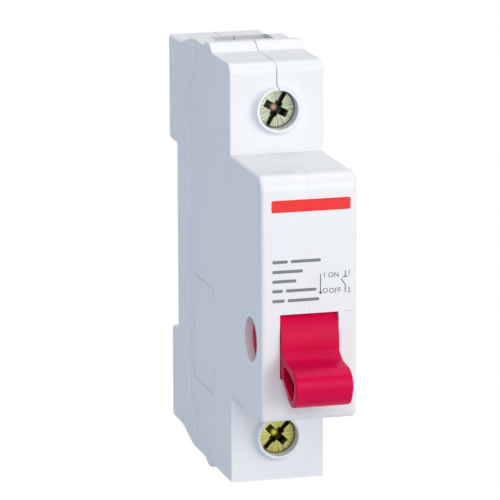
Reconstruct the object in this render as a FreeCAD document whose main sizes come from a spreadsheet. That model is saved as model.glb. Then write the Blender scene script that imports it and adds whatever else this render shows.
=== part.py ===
import FreeCAD
import Part

import os
from math import cos, hypot, pi, radians, sin
from types import SimpleNamespace

import Sketcher

# A single-pole modular switch on a 35 mm mounting rail.
# Millimetres. X is across the module, -Y is the front with the handle, +Z is up.
# The origin is on the mid-plane, on the rail's seat, at the rail's centre line.

SIZES = [
    # Housing envelope
    ("module_width", 18.0, "width over the raised side faces"),
    ("side_step", 0.2, "depth of the lowered side faces"),
    ("side_wall", 2.0, "side wall behind the raised faces"),
    ("wall", 1.8, "every other outer wall"),
    ("nose_depth", 59.0, "nose front, ahead of the rail seat"),
    ("nose_height", 45.0, "nose, top face to bottom face"),
    ("shoulder_depth", 38.0, "terminal shoulders, ahead of the rail seat"),
    ("top_height", 39.2, "top face at its front edge"),
    ("bottom_height", 39.0, "bottom face at its front edge, below the centre line"),
    ("plateau_rise", 0.6, "rise of the top face behind its ridge"),
    ("ridge_rise", 0.95, "ridge above the face that it stands on"),
    ("ridge_depth", 22.4, "middle of the ridge's crest, ahead of the rail seat"),
    ("ridge_crest", 1.8, "flat length of the crest"),
    ("ridge_flank", 2.4, "run of each flank of the ridge"),
    ("heel_drop", 2.1, "fall of both end faces towards the back"),
    ("heel_start", 10.6, "start of that fall, ahead of the rail seat"),
    ("heel_end", 2.8, "end of that fall, ahead of the rail seat"),
    ("upper_jaw", 5.7, "upper jaw, behind the rail seat"),
    ("lower_jaw", 4.5, "lower jaw, behind the rail seat"),
    ("notch_top", 17.6, "upper face of the rail notch"),
    ("notch_bottom", 18.7, "lower face of the rail notch, below the centre line"),
    ("step_rear", 8.2, "edge of the raised side face, ahead of the rail seat"),
    ("step_front", 12.2, "the same edge beside both end faces"),
    ("step_height", 33.7, "height where the edge has moved forward"),
    ("step_run", 4.0, "slanted length of that edge, along Z"),
    # Housing rounding
    ("nose_top_round", 3.0, "nose, front top corner"),
    ("nose_bottom_round", 1.8, "nose, front bottom corner"),
    ("shoulder_round", 2.0, "upper shoulder, front corner"),
    ("jaw_round", 1.2, "jaw corners at the notch"),
    ("heel_round", 14.0, "both bends of the falling end faces"),
    ("ridge_round", 1.1, "bends of the ridges"),
    ("nose_edge", 0.9, "rounded side edges of the nose"),
    ("outer_edge", 0.5, "rounded side edges of the rest"),
    # Terminals
    ("terminal_height", 30.6, "screw axis, above and below the centre line"),
    ("screw_hole", 3.8, "radius of the hole that shows the screw head"),
    ("collar_rim", 4.5, "outer radius of the collar's rim"),
    ("collar_base", 5.9, "outer radius of the collar at the shoulder"),
    ("collar_rise", 1.5, "rim, ahead of the shoulder"),
    ("head_depth", 3.3, "screw head below the rim"),
    ("head_radius", 3.55, "terminal screw head"),
    ("head_height", 2.4, "terminal screw head"),
    ("slot_width", 0.85, "full slot of the terminal screw head"),
    ("cross_width", 1.5, "cross recess of the terminal screw head"),
    ("cross_reach", 2.4, "cross recess, arms square to the slot"),
    ("cross_short", 1.5, "cross recess, arms along the slot"),
    ("recess_depth", 1.2, "slot of the terminal screw head"),
    ("cross_depth", 1.5, "cross recess of the terminal screw head"),
    ("slot_turn", 45.0, "slots of both terminal screws, from level, in degrees"),
    ("shank_radius", 2.5, "terminal screw, M5"),
    ("thread_pitch", 0.8, "terminal screw, M5"),
    ("shelf", 1.4, "shelf behind the screw head"),
    ("tunnel_wall", 1.2, "wall round the screw head"),
    ("cage_travel", 6.0, "travel of the clamp cage"),
    ("cage_width", 12.4, "clamp cage, along X"),
    ("cage_height", 9.0, "clamp cage, along Z"),
    ("cage_front", 26.0, "clamp cage when open, ahead of the rail seat"),
    ("cage_back", 7.0, "clamp cage when open, ahead of the rail seat"),
    ("cage_wall", 1.2, "clamp cage"),
    ("cage_neck", 2.0, "length of the neck with the thread"),
    ("bite_pitch", 1.2, "grip ridges inside the clamp cage"),
    ("bite_width", 0.6, "grip ridges inside the clamp cage"),
    ("bite_height", 0.3, "grip ridges inside the clamp cage"),
    ("entry_front", 16.6, "wire entry, ahead of the rail seat"),
    ("entry_back", 8.7, "wire entry, ahead of the rail seat"),
    ("entry_width", 9.6, "wire entry at the cage"),
    ("entry_mouth", 11.2, "wire entry at the outer face"),
    ("entry_depth", 1.9, "depth of the widened mouth"),
    # Contacts
    ("strip_front", 18.5, "fixed contact, ahead of the rail seat"),
    ("strip_thickness", 1.5, "fixed contact"),
    ("strip_width", 8.0, "fixed contact"),
    ("strip_inner", 6.6, "inner end of the fixed contact, along Z"),
    ("strip_outer", 36.0, "outer end of the fixed contact, along Z"),
    ("tip_height", 10.0, "contact tips, above and below the centre line"),
    ("tip_radius", 2.2, "contact tips"),
    ("tip_thickness", 1.2, "contact tips"),
    ("tip_bevel", 0.36, "bevelled edge of the contact tips"),
    ("rivet_radius", 1.0, "stem of a contact tip"),
    ("contact_rest", 0.1, "gap left between closed tips"),
    ("stroke", 4.7, "travel of the contact carrier"),
    ("float", 1.0, "travel of the bridge in its carrier"),
    ("bridge_length", 25.0, "contact bridge"),
    ("bridge_width", 7.6, "contact bridge"),
    ("bridge_thickness", 1.5, "contact bridge"),
    # Carrier and link
    ("carrier_width", 10.6, "contact carrier, along X"),
    ("carrier_height", 10.0, "contact carrier, along Z"),
    ("carrier_front", 41.5, "contact carrier when off, ahead of the rail seat"),
    ("carrier_back", 14.0, "contact carrier when off, ahead of the rail seat"),
    ("window_length", 8.6, "carrier window for the bridge and its spring"),
    ("window_width", 8.0, "the same window, along X"),
    ("runner_low", 1.5, "side runner of the carrier"),
    ("runner_high", 3.5, "side runner of the carrier"),
    ("link_length", 15.0, "link, pin to pin"),
    ("link_radius", 0.6, "link wire"),
    ("link_bend", 0.7, "bends of the link, on its centre line"),
    ("link_reach", 3.0, "far end of the link's pins, along -X"),
    ("link_play", 0.35, "play of the link's pin in the handle"),
    # Handle
    ("pivot_depth", 51.6, "handle axis, ahead of the rail seat"),
    ("pivot_drop", 8.5, "handle axis, below the centre line"),
    ("swing", 46.0, "angle from off to on, in degrees"),
    ("drum_radius", 8.35, "handle drum"),
    ("drum_width", 10.6, "handle drum and lever"),
    ("drum_gap", 0.25, "housing round the drum"),
    ("trunnion_radius", 4.0, "handle trunnions"),
    ("trunnion_gap", 0.08, "trunnion in its bearing"),
    ("trunnion_reach", 7.3, "end of each trunnion, from the mid-plane"),
    ("bearing_radius", 4.85, "bearing boss inside the side wall"),
    ("crank_radius", 6.0, "crank hole of the handle, from its axis"),
    ("window_half", 5.9, "handle window, above and below the handle axis"),
    ("lever_length", 18.4, "lever tip, from the handle axis"),
    ("neck_half", 2.15, "half thickness of the lever's neck"),
    ("grip_half", 3.45, "half thickness of the lever's grip"),
    ("neck_end", 10.4, "where the lever starts to widen"),
    ("grip_start", 14.6, "where the grip has its full thickness"),
    ("grip_round", 2.3, "corners of the grip"),
    ("bend_round", 2.3, "bends between the neck and the grip"),
    ("slot_start", 10.9, "tie-bar slot of the lever, from the handle axis"),
    ("slot_end", 16.9, "tie-bar slot of the lever, from the handle axis"),
    ("slot_half", 1.5, "half height of the tie-bar slot"),
    ("slot_narrow", 1.15, "half height of the slot's rear end"),
    ("slot_round", 0.92, "corners of the tie-bar slot"),
    ("lever_edge", 0.35, "rounded edges of the lever"),
    # Springs
    ("spring_wire", 0.45, "torsion spring of the handle"),
    ("spring_turns", 1.75, "torsion spring of the handle"),
    ("spring_leg", 4.0, "leg of the torsion spring at the handle"),
    ("spring_arm", 10.4, "leg of the torsion spring at the housing"),
    ("spring_hook", 2.4, "bent end of the handle's leg, in the drum"),
    ("hook_play", 0.25, "free length of the hole past that end"),
    ("spring_bend", 0.63, "bend of that end"),
    ("spring_space", 0.009, "space between turns of the torsion spring"),
    ("contact_wire", 0.6, "contact spring"),
    ("contact_coil", 2.4, "contact spring, radius on its centre line"),
    ("contact_turns", 4.5, "contact spring"),
    ("clip_wire", 0.3, "clip spring"),
    ("clip_coil", 0.8, "clip spring, radius on its centre line"),
    ("clip_turns", 8.5, "clip spring"),
    # Rail clip
    ("clip_width", 8.0, "rail clip"),
    ("clip_front", 1.15, "rail clip, behind the rail seat"),
    ("clip_back", 3.3, "rail clip, behind the rail seat"),
    ("clip_nose", 16.2, "top of the rail clip, below the centre line"),
    ("clip_tail", 38.4, "end of the rail clip, below the centre line"),
    ("clip_travel", 3.0, "travel of the rail clip"),
    ("tooth_drop", 1.0, "fixed tooth of the upper jaw"),
    ("tooth_back", 3.5, "back of the fixed tooth, behind the rail seat"),
    ("tab_bottom", 33.0, "tab that the clip spring stands on"),
    ("tab_thickness", 1.5, "the same tab, along Z"),
    ("tab_width", 3.0, "the same tab, along X"),
    ("spring_room", 8.2, "window of the clip above the tab"),
    # Case screws and ribs
    ("case_shank", 1.1, "case screw"),
    ("case_head", 1.9, "case screw head, radius"),
    ("case_head_height", 1.2, "case screw head"),
    ("case_head_depth", 0.3, "case screw head below the side face"),
    ("case_bevel", 0.4, "bevelled edge of the case screw head"),
    ("case_point", 0.275, "radius of the case screw's blunt end"),
    ("case_slot", 0.55, "cross recess of the case screw, across an arm"),
    ("case_cross", 1.045, "cross recess of the case screw, from its middle"),
    ("case_cross_depth", 0.84, "cross recess of the case screw"),
    ("case_boss", 2.4, "bosses of the case screws"),
    ("rear_screw_depth", 5.4, "rear case screws, ahead of the rail seat"),
    ("rear_screw_height", 22.0, "rear case screws, from the centre line"),
    ("nose_screw_depth", 51.8, "upper front case screw, ahead of the rail seat"),
    ("nose_screw_inset", 3.6, "upper front case screw, below the nose's top face"),
    ("low_screw_depth", 46.8, "lower front case screw, ahead of the rail seat"),
    ("low_screw_inset", 3.3, "lower front case screw, above the nose's bottom face"),
    ("rib", 1.2, "guide ribs"),
    ("slide_gap", 0.15, "sliding pieces in their guides"),
    ("seat_gap", 0.05, "fixed pieces in their seats"),
    ("post_length", 1.5, "post for the torsion spring"),
    # Label field of the left side
    ("field_front", 26.0, "outlined field, ahead of the rail seat"),
    ("field_back", 11.5, "outlined field, ahead of the rail seat"),
    ("field_top", 4.9, "outlined field, below the centre line"),
    ("field_bottom", 25.4, "outlined field, below the centre line"),
    ("field_line", 0.4, "width of the field's outline"),
    ("field_groove", 0.12, "depth of the field's outline"),
]

# How far a cut runs past the solid
POCKET_MARGIN = 3.0

# Points closer than this are one point
NEAR = 0.02


class Size:
    """A length with its number and the sheet formula that gives it."""

    def __init__(self, value, formula):
        self.value = value
        self.formula = formula

    def __add__(self, other):
        other = as_size(other)
        return Size(self.value + other.value, f"({self.formula} + {other.formula})")

    def __radd__(self, other):
        return as_size(other) + self

    def __sub__(self, other):
        other = as_size(other)
        return Size(self.value - other.value, f"({self.formula} - {other.formula})")

    def __rsub__(self, other):
        return as_size(other) - self

    def __mul__(self, factor):
        return Size(self.value * factor, f"({self.formula} * ({factor!r}))")

    def __rmul__(self, factor):
        return self * factor

    def __truediv__(self, divisor):
        return Size(self.value / divisor, f"({self.formula} / {divisor!r})")

    def __neg__(self):
        return Size(-self.value, f"(-1 * {self.formula})")


def as_size(number):
    if isinstance(number, Size):
        return number
    return Size(float(number), f"({float(number)!r})")


def bind(item, field, size):
    item.setExpression(field, as_size(size).formula)


def make_sheet(doc):
    sheet = doc.addObject("Spreadsheet::Sheet", "Sizes")
    sizes = {}
    for row, (alias, value, meaning) in enumerate(SIZES, start=1):
        sheet.set(f"A{row}", alias)
        sheet.set(f"B{row}", repr(value))
        sheet.set(f"C{row}", meaning)
        sheet.setAlias(f"B{row}", alias)
        sizes[alias] = Size(value, f"Sizes.{alias}")
    doc.recompute()
    return SimpleNamespace(**sizes)


def new_body(doc, name):
    body = doc.addObject("PartDesign::Body", name)
    body.Label = name
    doc.recompute()
    return body


def place(item, x=0.0, y=0.0, z=0.0, axis=(1, 0, 0), angle=0.0):
    """Sets a Placement and binds it to the sheet."""
    x, y, z, angle = (as_size(v) for v in (x, y, z, angle))
    turn = FreeCAD.Rotation(FreeCAD.Vector(*axis), angle.value)
    item.Placement = FreeCAD.Placement(FreeCAD.Vector(x.value, y.value, z.value), turn)
    for field, size in (("Base.x", x), ("Base.y", y), ("Base.z", z)):
        bind(item, f"Placement.{field}", size)
    if angle.value:
        bind(item, "Placement.Rotation.Angle", angle)


def sketch_on(body, name, plane, offset, loops):
    """Draws closed loops: a list of (across, up) corners, or a circle (across, up, radius)."""
    sketch = body.newObject("Sketcher::SketchObject", name)
    origin_plane = [f for f in body.Origin.OriginFeatures if f.Role == plane][0]
    sketch.AttachmentSupport = (origin_plane, [""])
    sketch.MapMode = "FlatFace"
    bind(sketch, "AttachmentOffset.Base.z", offset)
    for loop in loops:
        if isinstance(loop, tuple):
            draw_circle(sketch, *[as_size(v) for v in loop])
        else:
            draw_polygon(sketch, [(as_size(a), as_size(b)) for a, b in loop])
    return sketch


def pin_point(sketch, geometry, point, across, up):
    for kind, size in (("DistanceX", across), ("DistanceY", up)):
        rule = Sketcher.Constraint(kind, -1, 1, geometry, point, size.value)
        bind(sketch, f"Constraints[{sketch.addConstraint(rule)}]", size)


def draw_circle(sketch, across, up, radius):
    centre = FreeCAD.Vector(across.value, up.value, 0)
    circle = sketch.addGeometry(Part.Circle(centre, FreeCAD.Vector(0, 0, 1), radius.value), False)
    pin_point(sketch, circle, 3, across, up)
    rule = sketch.addConstraint(Sketcher.Constraint("Radius", circle, radius.value))
    bind(sketch, f"Constraints[{rule}]", radius)


def draw_polygon(sketch, corners):
    points = [FreeCAD.Vector(a.value, b.value, 0) for a, b in corners]
    count = len(points)
    lines = [
        sketch.addGeometry(Part.LineSegment(points[i], points[(i + 1) % count]), False)
        for i in range(count)
    ]
    for i in range(count):
        sketch.addConstraint(Sketcher.Constraint("Coincident", lines[i], 2, lines[(i + 1) % count], 1))
    for line, (across, up) in zip(lines, corners):
        pin_point(sketch, line, 1, across, up)


def prism(body, name, plane, loops, start, end, cut=False):
    """Adds or cuts the loops between two distances along the plane's normal."""
    start, end = as_size(start), as_size(end)
    sketch = sketch_on(body, f"{name}_sketch", plane, start, loops)
    kind = "PartDesign::Pocket" if cut else "PartDesign::Pad"
    feature = body.newObject(kind, name)
    feature.Profile = sketch
    feature.Reversed = cut
    bind(feature, "Length", end - start)
    body.Document.recompute()
    check_change(body, feature, cut)
    return feature


def across_width(body, name, loops, width, cut=False):
    """A prism on the YZ plane, centred on the mid-plane."""
    width = as_size(width)
    return prism(body, name, "YZ_Plane", loops, -width / 2, width / 2, cut)


def turned(body, name, corners):
    """Adds a solid of revolution about the body's own Z axis."""
    sketch = sketch_on(body, f"{name}_sketch", "XZ_Plane", 0, [corners])
    feature = body.newObject("PartDesign::Revolution", name)
    feature.Profile = sketch
    feature.ReferenceAxis = (sketch, ["V_Axis"])
    feature.Angle = 360
    body.Document.recompute()
    check_change(body, feature, False)
    return feature


def check_change(body, feature, cut):
    """Stops if a feature did nothing, or went the wrong way."""
    base = feature.BaseFeature
    before = base.Shape.Volume if base else 0.0
    change = feature.Shape.Volume - before
    if (cut and change > -1e-6) or (not cut and change < 1e-6):
        raise RuntimeError(f"{feature.Name} changes the volume by {change:.4f}")


def edges_where(shape, test):
    return [f"Edge{i}" for i, edge in enumerate(shape.Edges, start=1) if test(edge)]


def round_off(body, name, radius, test, kind="Fillet"):
    """Rounds or bevels the edges of the body's tip that pass the test."""
    tip = body.Tip
    feature = body.newObject(f"PartDesign::{kind}", name)
    feature.Base = (tip, edges_where(tip.Shape, test))
    bind(feature, "Radius" if kind == "Fillet" else "Size", radius)
    body.Document.recompute()
    return feature


def crosswise_at(*corners):
    """Picks the edges along X that pass through one of the (y, z) corners."""
    spots = [(as_size(y).value, as_size(z).value) for y, z in corners]

    def test(edge):
        box = edge.BoundBox
        if box.YLength > NEAR or box.ZLength > NEAR or box.XLength < NEAR:
            return False
        return any(hypot(box.YMin - y, box.ZMin - z) < NEAR for y, z in spots)

    return test


def rectangle(low_a, low_b, high_a, high_b):
    return [(low_a, low_b), (high_a, low_b), (high_a, high_b), (low_a, high_b)]


def side_outline(s):
    """The housing's profile, from the top of the upper jaw forward and round."""
    crest = s.ridge_crest / 2
    plateau = s.top_height + s.plateau_rise
    return {
        "jaw_top": (s.upper_jaw, plateau - s.heel_drop),
        "heel_top_rear": (-s.heel_end, plateau - s.heel_drop),
        "heel_top_front": (-s.heel_start, plateau),
        "ridge_top_1": (-s.ridge_depth + crest + s.ridge_flank, plateau),
        "ridge_top_2": (-s.ridge_depth + crest, plateau + s.ridge_rise),
        "ridge_top_3": (-s.ridge_depth - crest, plateau + s.ridge_rise),
        "ridge_top_4": (-s.ridge_depth - crest - s.ridge_flank, s.top_height),
        "shoulder_top": (-s.shoulder_depth, s.top_height),
        "inner_top": (-s.shoulder_depth, s.nose_height / 2),
        "nose_top": (-s.nose_depth, s.nose_height / 2),
        "nose_bottom": (-s.nose_depth, -s.nose_height / 2),
        "inner_bottom": (-s.shoulder_depth, -s.nose_height / 2),
        "shoulder_bottom": (-s.shoulder_depth, -s.bottom_height),
        "ridge_low_4": (-s.ridge_depth - crest - s.ridge_flank, -s.bottom_height),
        "ridge_low_3": (-s.ridge_depth - crest, -s.bottom_height - s.ridge_rise),
        "ridge_low_2": (-s.ridge_depth + crest, -s.bottom_height - s.ridge_rise),
        "ridge_low_1": (-s.ridge_depth + crest + s.ridge_flank, -s.bottom_height),
        "heel_low_front": (-s.heel_start, -s.bottom_height),
        "heel_low_rear": (-s.heel_end, -s.bottom_height + s.heel_drop),
        "jaw_low": (s.lower_jaw, -s.bottom_height + s.heel_drop),
        "jaw_low_notch": (s.lower_jaw, -s.notch_bottom),
        "seat_low": (0, -s.notch_bottom),
        "seat_top": (0, s.notch_top),
        "jaw_top_notch": (s.upper_jaw, s.notch_top),
    }


def outer_form(body, s):
    """The closed outer block with its rounded edges and stepped side faces."""
    outline = side_outline(s)
    across_width(body, "block", [list(outline.values())], s.module_width)
    heel_corners = [name for name in outline if name.startswith("heel")]
    ridge_corners = [name for name in outline if name.startswith("ridge")]
    rounds = [
        ("nose_top_fillet", s.nose_top_round, ["nose_top"]),
        ("nose_bottom_fillet", s.nose_bottom_round, ["nose_bottom"]),
        ("shoulder_fillet", s.shoulder_round, ["shoulder_top"]),
        ("jaw_fillet", s.jaw_round, ["jaw_top_notch", "jaw_low_notch"]),
        ("heel_fillet", s.heel_round, heel_corners),
        ("ridge_fillet", s.ridge_round, ridge_corners),
    ]
    for name, radius, corners in rounds:
        round_off(body, name, radius, crosswise_at(*[outline[c] for c in corners]))
    half = s.module_width / 2
    split = (s.shoulder_depth + s.side_step).value

    def side_edge(edge):
        box = edge.BoundBox
        return box.XLength < NEAR and abs(abs(box.XMin) - half.value) < NEAR

    def nose_edge(edge):
        return side_edge(edge) and edge.CenterOfMass.y < -split

    round_off(body, "nose_edge_fillet", s.nose_edge, nose_edge)
    round_off(body, "outer_edge_fillet", s.outer_edge, side_edge)
    edge_high = s.step_height
    edge_low = s.step_height - s.step_run
    top, bottom = s.top_height + POCKET_MARGIN, -s.bottom_height - POCKET_MARGIN
    front = [
        (-s.nose_depth - POCKET_MARGIN, bottom),
        (-s.step_front, bottom),
        (-s.step_front, -edge_high),
        (-s.step_rear, -edge_low),
        (-s.step_rear, edge_low),
        (-s.step_front, edge_high),
        (-s.step_front, top),
        (-s.nose_depth - POCKET_MARGIN, top),
    ]
    prism(body, "right_step", "YZ_Plane", [front], half - s.side_step, half + POCKET_MARGIN, cut=True)
    prism(body, "left_step", "YZ_Plane", [front], -half - POCKET_MARGIN, s.side_step - half, cut=True)


def hollow_out(body, s):
    """The mechanism room, the two terminal rooms and the hollow upper jaw."""
    inside = s.module_width - 2 * s.side_wall
    nose = s.nose_height / 2
    lip = -s.shoulder_depth + s.wall
    mechanism = [
        (-s.nose_depth + s.wall, s.wall - nose),
        (-s.nose_depth + s.wall, nose - s.wall),
        (lip, nose - s.wall),
        (lip, nose + s.side_step),
        (-s.side_wall, nose + s.side_step),
        (-s.side_wall, -nose - s.side_step),
        (lip, -nose - s.side_step),
        (lip, s.wall - nose),
    ]
    across_width(body, "mechanism_room", [mechanism], inside, cut=True)
    floor = nose + s.side_step + s.rib
    for sign, name, height in ((1, "upper", s.top_height), (-1, "lower", s.bottom_height)):
        room = [
            (lip, sign * floor),
            (lip, sign * (height - s.wall)),
            (-s.heel_start + s.wall, sign * (height - s.wall)),
            (-s.side_wall, sign * (height - s.wall - s.heel_drop / 2)),
            (-s.side_wall, sign * floor),
        ]
        across_width(body, f"{name}_room", [room], inside, cut=True)
    jaw_top = s.top_height + s.plateau_rise - s.heel_drop - s.wall
    jaw = rectangle(0, s.notch_top + s.wall, s.upper_jaw - s.wall, jaw_top)
    across_width(body, "jaw_hollow", [jaw], inside, cut=True)


def guide_positions(s):
    """(y, z) outlines of what spans the inside: carrier guides, strip seats and the fixed tooth."""
    low = s.carrier_height / 2 + s.slide_gap
    bridge_front = s.strip_front + s.contact_rest + s.stroke + 2 * s.tip_thickness
    front_end = bridge_front + s.bridge_thickness + s.float + s.slide_gap
    loops = []
    for sign in (1, -1):
        near, far = sign * low, sign * (low + s.rib)
        loops.append(rectangle(-s.carrier_front, near, -front_end, far))
        back = s.strip_front - s.strip_thickness - s.slide_gap
        loops.append(rectangle(-back, near, -s.side_wall / 2, far))
        seat = s.strip_front - s.strip_thickness
        middle = sign * s.tip_height
        loops.append(rectangle(-seat, middle - s.rib / 2, -s.side_wall / 2, middle + s.rib / 2))
    tooth = [
        (s.clip_front, s.notch_top + NEAR),
        (s.clip_front, s.notch_top - s.tooth_drop),
        (s.tooth_back - s.tooth_drop, s.notch_top - s.tooth_drop),
        (s.tooth_back, s.notch_top + NEAR),
    ]
    return loops + [tooth]


def screw_spots(s):
    """(y, z) of the four case screws."""
    nose = s.nose_height / 2
    return [
        (-s.rear_screw_depth, s.rear_screw_height),
        (-s.rear_screw_depth, -s.rear_screw_height),
        (-s.nose_screw_depth, nose - s.nose_screw_inset),
        (-s.low_screw_depth, s.low_screw_inset - nose),
    ]


def inner_ribs(body, s):
    """Guides, strip seats, bearing bosses, screw bosses and the torsion spring's post."""
    inside = s.module_width - 2 * s.side_wall
    span = inside + s.side_wall / 2
    across_width(body, "guide_ribs", guide_positions(s), span)
    bosses = [(y, z, s.case_boss) for y, z in screw_spots(s)]
    bosses.append((-s.pivot_depth, -s.pivot_drop, s.bearing_radius))
    across_width(body, "bosses", bosses, span)
    rails = cage_rails(s)
    rail_face = s.cage_width / 2 - s.cage_wall
    prism(body, "right_rails", "YZ_Plane", rails, rail_face, span / 2)
    prism(body, "left_rails", "YZ_Plane", rails, -span / 2, -rail_face)
    arm = spring_arm_height(s) - s.spring_wire / 2
    post = rectangle(-s.carrier_front - s.post_length, arm - s.rib, -s.carrier_front, arm)
    post_face = s.drum_width / 2 + s.link_radius
    prism(body, "spring_post", "YZ_Plane", [post], -span / 2, -post_face)


def cage_rails(s):
    """(y, z) rectangles of the rails that guide both clamp cages."""
    front = s.cage_front + s.cage_travel + s.slide_gap
    near = s.terminal_height - s.cage_height / 2 - s.slide_gap
    far = s.terminal_height + s.cage_height / 2 + s.slide_gap
    loops = []
    for sign in (1, -1):
        loops.append(rectangle(-front, sign * (near - s.rib / 2), -s.side_wall, sign * near))
        loops.append(rectangle(-front, sign * far, -s.side_wall, sign * (far + s.rib / 2)))
    return loops


def spring_arm_height(s):
    """Z of the torsion spring's long leg."""
    return -s.pivot_drop + torsion_radius(s)


def torsion_radius(s):
    return s.bearing_radius + s.slide_gap + s.spring_wire / 2


def terminal_fronts(body, s):
    """Screw tunnels, collars and holes in both shoulders."""
    back = s.shoulder_depth - s.wall / 2
    rim = s.shoulder_depth + s.collar_rise
    head_back = rim - s.head_depth - s.head_height - s.slide_gap
    axes = [(0, s.terminal_height), (0, -s.terminal_height)]

    def round_loops(radius):
        return [axis + (radius,) for axis in axes]

    shelf_back = head_back - s.shelf
    tunnels = round_loops(s.screw_hole + s.tunnel_wall)
    openings = round_loops(s.screw_hole)
    shanks = round_loops(s.shank_radius + 2 * s.slide_gap)
    prism(body, "tunnels", "XZ_Plane", tunnels, shelf_back, back)
    prism(body, "collars", "XZ_Plane", round_loops(s.collar_rim), back, rim)
    prism(body, "screw_openings", "XZ_Plane", openings, head_back, rim + POCKET_MARGIN, cut=True)
    prism(body, "shank_holes", "XZ_Plane", shanks, shelf_back - NEAR, head_back + NEAR, cut=True)
    shoulder = s.shoulder_depth.value
    height = s.terminal_height.value
    rim_radius = s.collar_rim.value

    def collar_foot(edge):
        curve = edge.Curve
        if not isinstance(curve, Part.Circle) or abs(curve.Radius - rim_radius) > NEAR:
            return False
        centre = curve.Center
        return abs(centre.y + shoulder) < NEAR and abs(abs(centre.z) - height) < NEAR

    round_off(body, "collar_fillet", s.collar_base - s.collar_rim, collar_foot)


def wire_entries(body, s):
    """Mouth and throat of each wire entry, through the end faces."""
    for sign, name, height in ((1, "upper", s.top_height), (-1, "lower", s.bottom_height)):
        throat = rectangle(-s.entry_width / 2, -s.entry_front, s.entry_width / 2, -s.entry_back)
        mouth = rectangle(-s.entry_mouth / 2, -s.entry_front, s.entry_mouth / 2, -s.entry_back)
        inner = sign * (height - 2 * s.wall)
        outer = sign * (height + POCKET_MARGIN)
        low, high = sorted((inner, outer), key=lambda size: size.value)
        prism(body, f"{name}_throat", "XY_Plane", [throat], low, high, cut=True)
        rise = s.plateau_rise if sign > 0 else as_size(0)
        ledge = sign * (height + rise - s.entry_depth)
        low, high = sorted((ledge, outer), key=lambda size: size.value)
        prism(body, f"{name}_mouth", "XY_Plane", [mouth], low, high, cut=True)


def handle_opening(body, s):
    """Window in the nose, room for the drum and both bearings."""
    pivot = (-s.pivot_depth, -s.pivot_drop)
    width = s.drum_width + 2 * s.slide_gap
    window = rectangle(
        -s.nose_depth - POCKET_MARGIN,
        -s.pivot_drop - s.window_half,
        -s.pivot_depth,
        -s.pivot_drop + s.window_half,
    )
    across_width(body, "window", [window], width, cut=True)
    across_width(body, "drum_room", [pivot + (s.drum_radius + s.drum_gap,)], width, cut=True)
    bearing = pivot + (s.trunnion_radius + s.trunnion_gap,)
    across_width(body, "bearings", [bearing], s.module_width + POCKET_MARGIN, cut=True)


def strip_slots(body, s):
    """Slots in both partitions, where the fixed contacts pass, in line with their seats."""
    half = s.strip_width / 2 + s.seat_gap
    front = s.strip_front + s.seat_gap
    back = s.strip_front - s.strip_thickness - s.seat_gap
    slot = rectangle(-half, -front, half, -back)
    reach = s.nose_height / 2 + s.side_step + s.rib + NEAR
    prism(body, "strip_slots", "XY_Plane", [slot], -reach, reach, cut=True)


def clip_channel(body, s):
    """Channel of the rail clip and the tab for its spring."""
    half = s.clip_width / 2 + s.slide_gap
    front = s.clip_front - s.slide_gap
    back = s.clip_back + s.slide_gap
    channel = rectangle(-half, front, half, back)
    above = POCKET_MARGIN - s.notch_bottom
    prism(body, "clip_channel", "XY_Plane", [channel], -s.bottom_height, above, cut=True)
    tab_top = s.tab_thickness - s.tab_bottom
    tab = rectangle(front - s.seat_gap, -s.tab_bottom, back + s.seat_gap, tab_top)
    across_width(body, "clip_tab", [tab], s.tab_width)


def screw_holes(body, s):
    """Pilot holes at the left, clearance holes and head recesses at the right."""
    spots = screw_spots(s)
    half = s.module_width / 2
    seat = half - s.side_step - s.case_head_depth - s.case_head_height
    pilot = [(y, z, s.case_shank + s.seat_gap) for y, z in spots]
    prism(body, "pilot_holes", "YZ_Plane", pilot, s.side_wall - half, as_size(0), cut=True)
    clear = [(y, z, s.case_shank + s.slide_gap) for y, z in spots]
    prism(body, "clearance_holes", "YZ_Plane", clear, as_size(0), half, cut=True)
    recess = [(y, z, s.case_head + s.slide_gap) for y, z in spots]
    prism(body, "head_recesses", "YZ_Plane", recess, seat, half + POCKET_MARGIN, cut=True)


def label_field(body, s):
    """A shallow outlined field on the left side, with nothing in it."""
    outer = rectangle(-s.field_front, -s.field_bottom, -s.field_back, -s.field_top)
    line = s.field_line
    inner = rectangle(
        -s.field_front + line, -s.field_bottom + line, -s.field_back - line, -s.field_top - line
    )
    face = s.side_step - s.module_width / 2
    floor = face + s.field_groove
    prism(body, "field_outline", "YZ_Plane", [outer, inner], face - POCKET_MARGIN, floor, cut=True)


def housing(doc, s):
    """The whole moulding, which is then split on the mid-plane."""
    body = new_body(doc, "housing")
    outer_form(body, s)
    hollow_out(body, s)
    inner_ribs(body, s)
    terminal_fronts(body, s)
    wire_entries(body, s)
    handle_opening(body, s)
    strip_slots(body, s)
    clip_channel(body, s)
    screw_holes(body, s)
    label_field(body, s)
    return body


def shells(doc, s, moulding):
    """Left and right shell: the moulding less the other half's space."""
    result = []
    reach = s.nose_depth + s.top_height
    for name, side in (("left_shell", 0), ("right_shell", -1)):
        half_space = doc.addObject("Part::Box", f"beyond_{name}")
        for field, size in (("Length", reach), ("Width", 2 * reach), ("Height", 2 * reach)):
            bind(half_space, field, size)
        place(half_space, side * reach, -reach, -reach)
        shell = doc.addObject("Part::Cut", name)
        shell.Label = name
        shell.Base = moulding
        shell.Tool = half_space
        result.append(shell)
    return result


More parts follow.
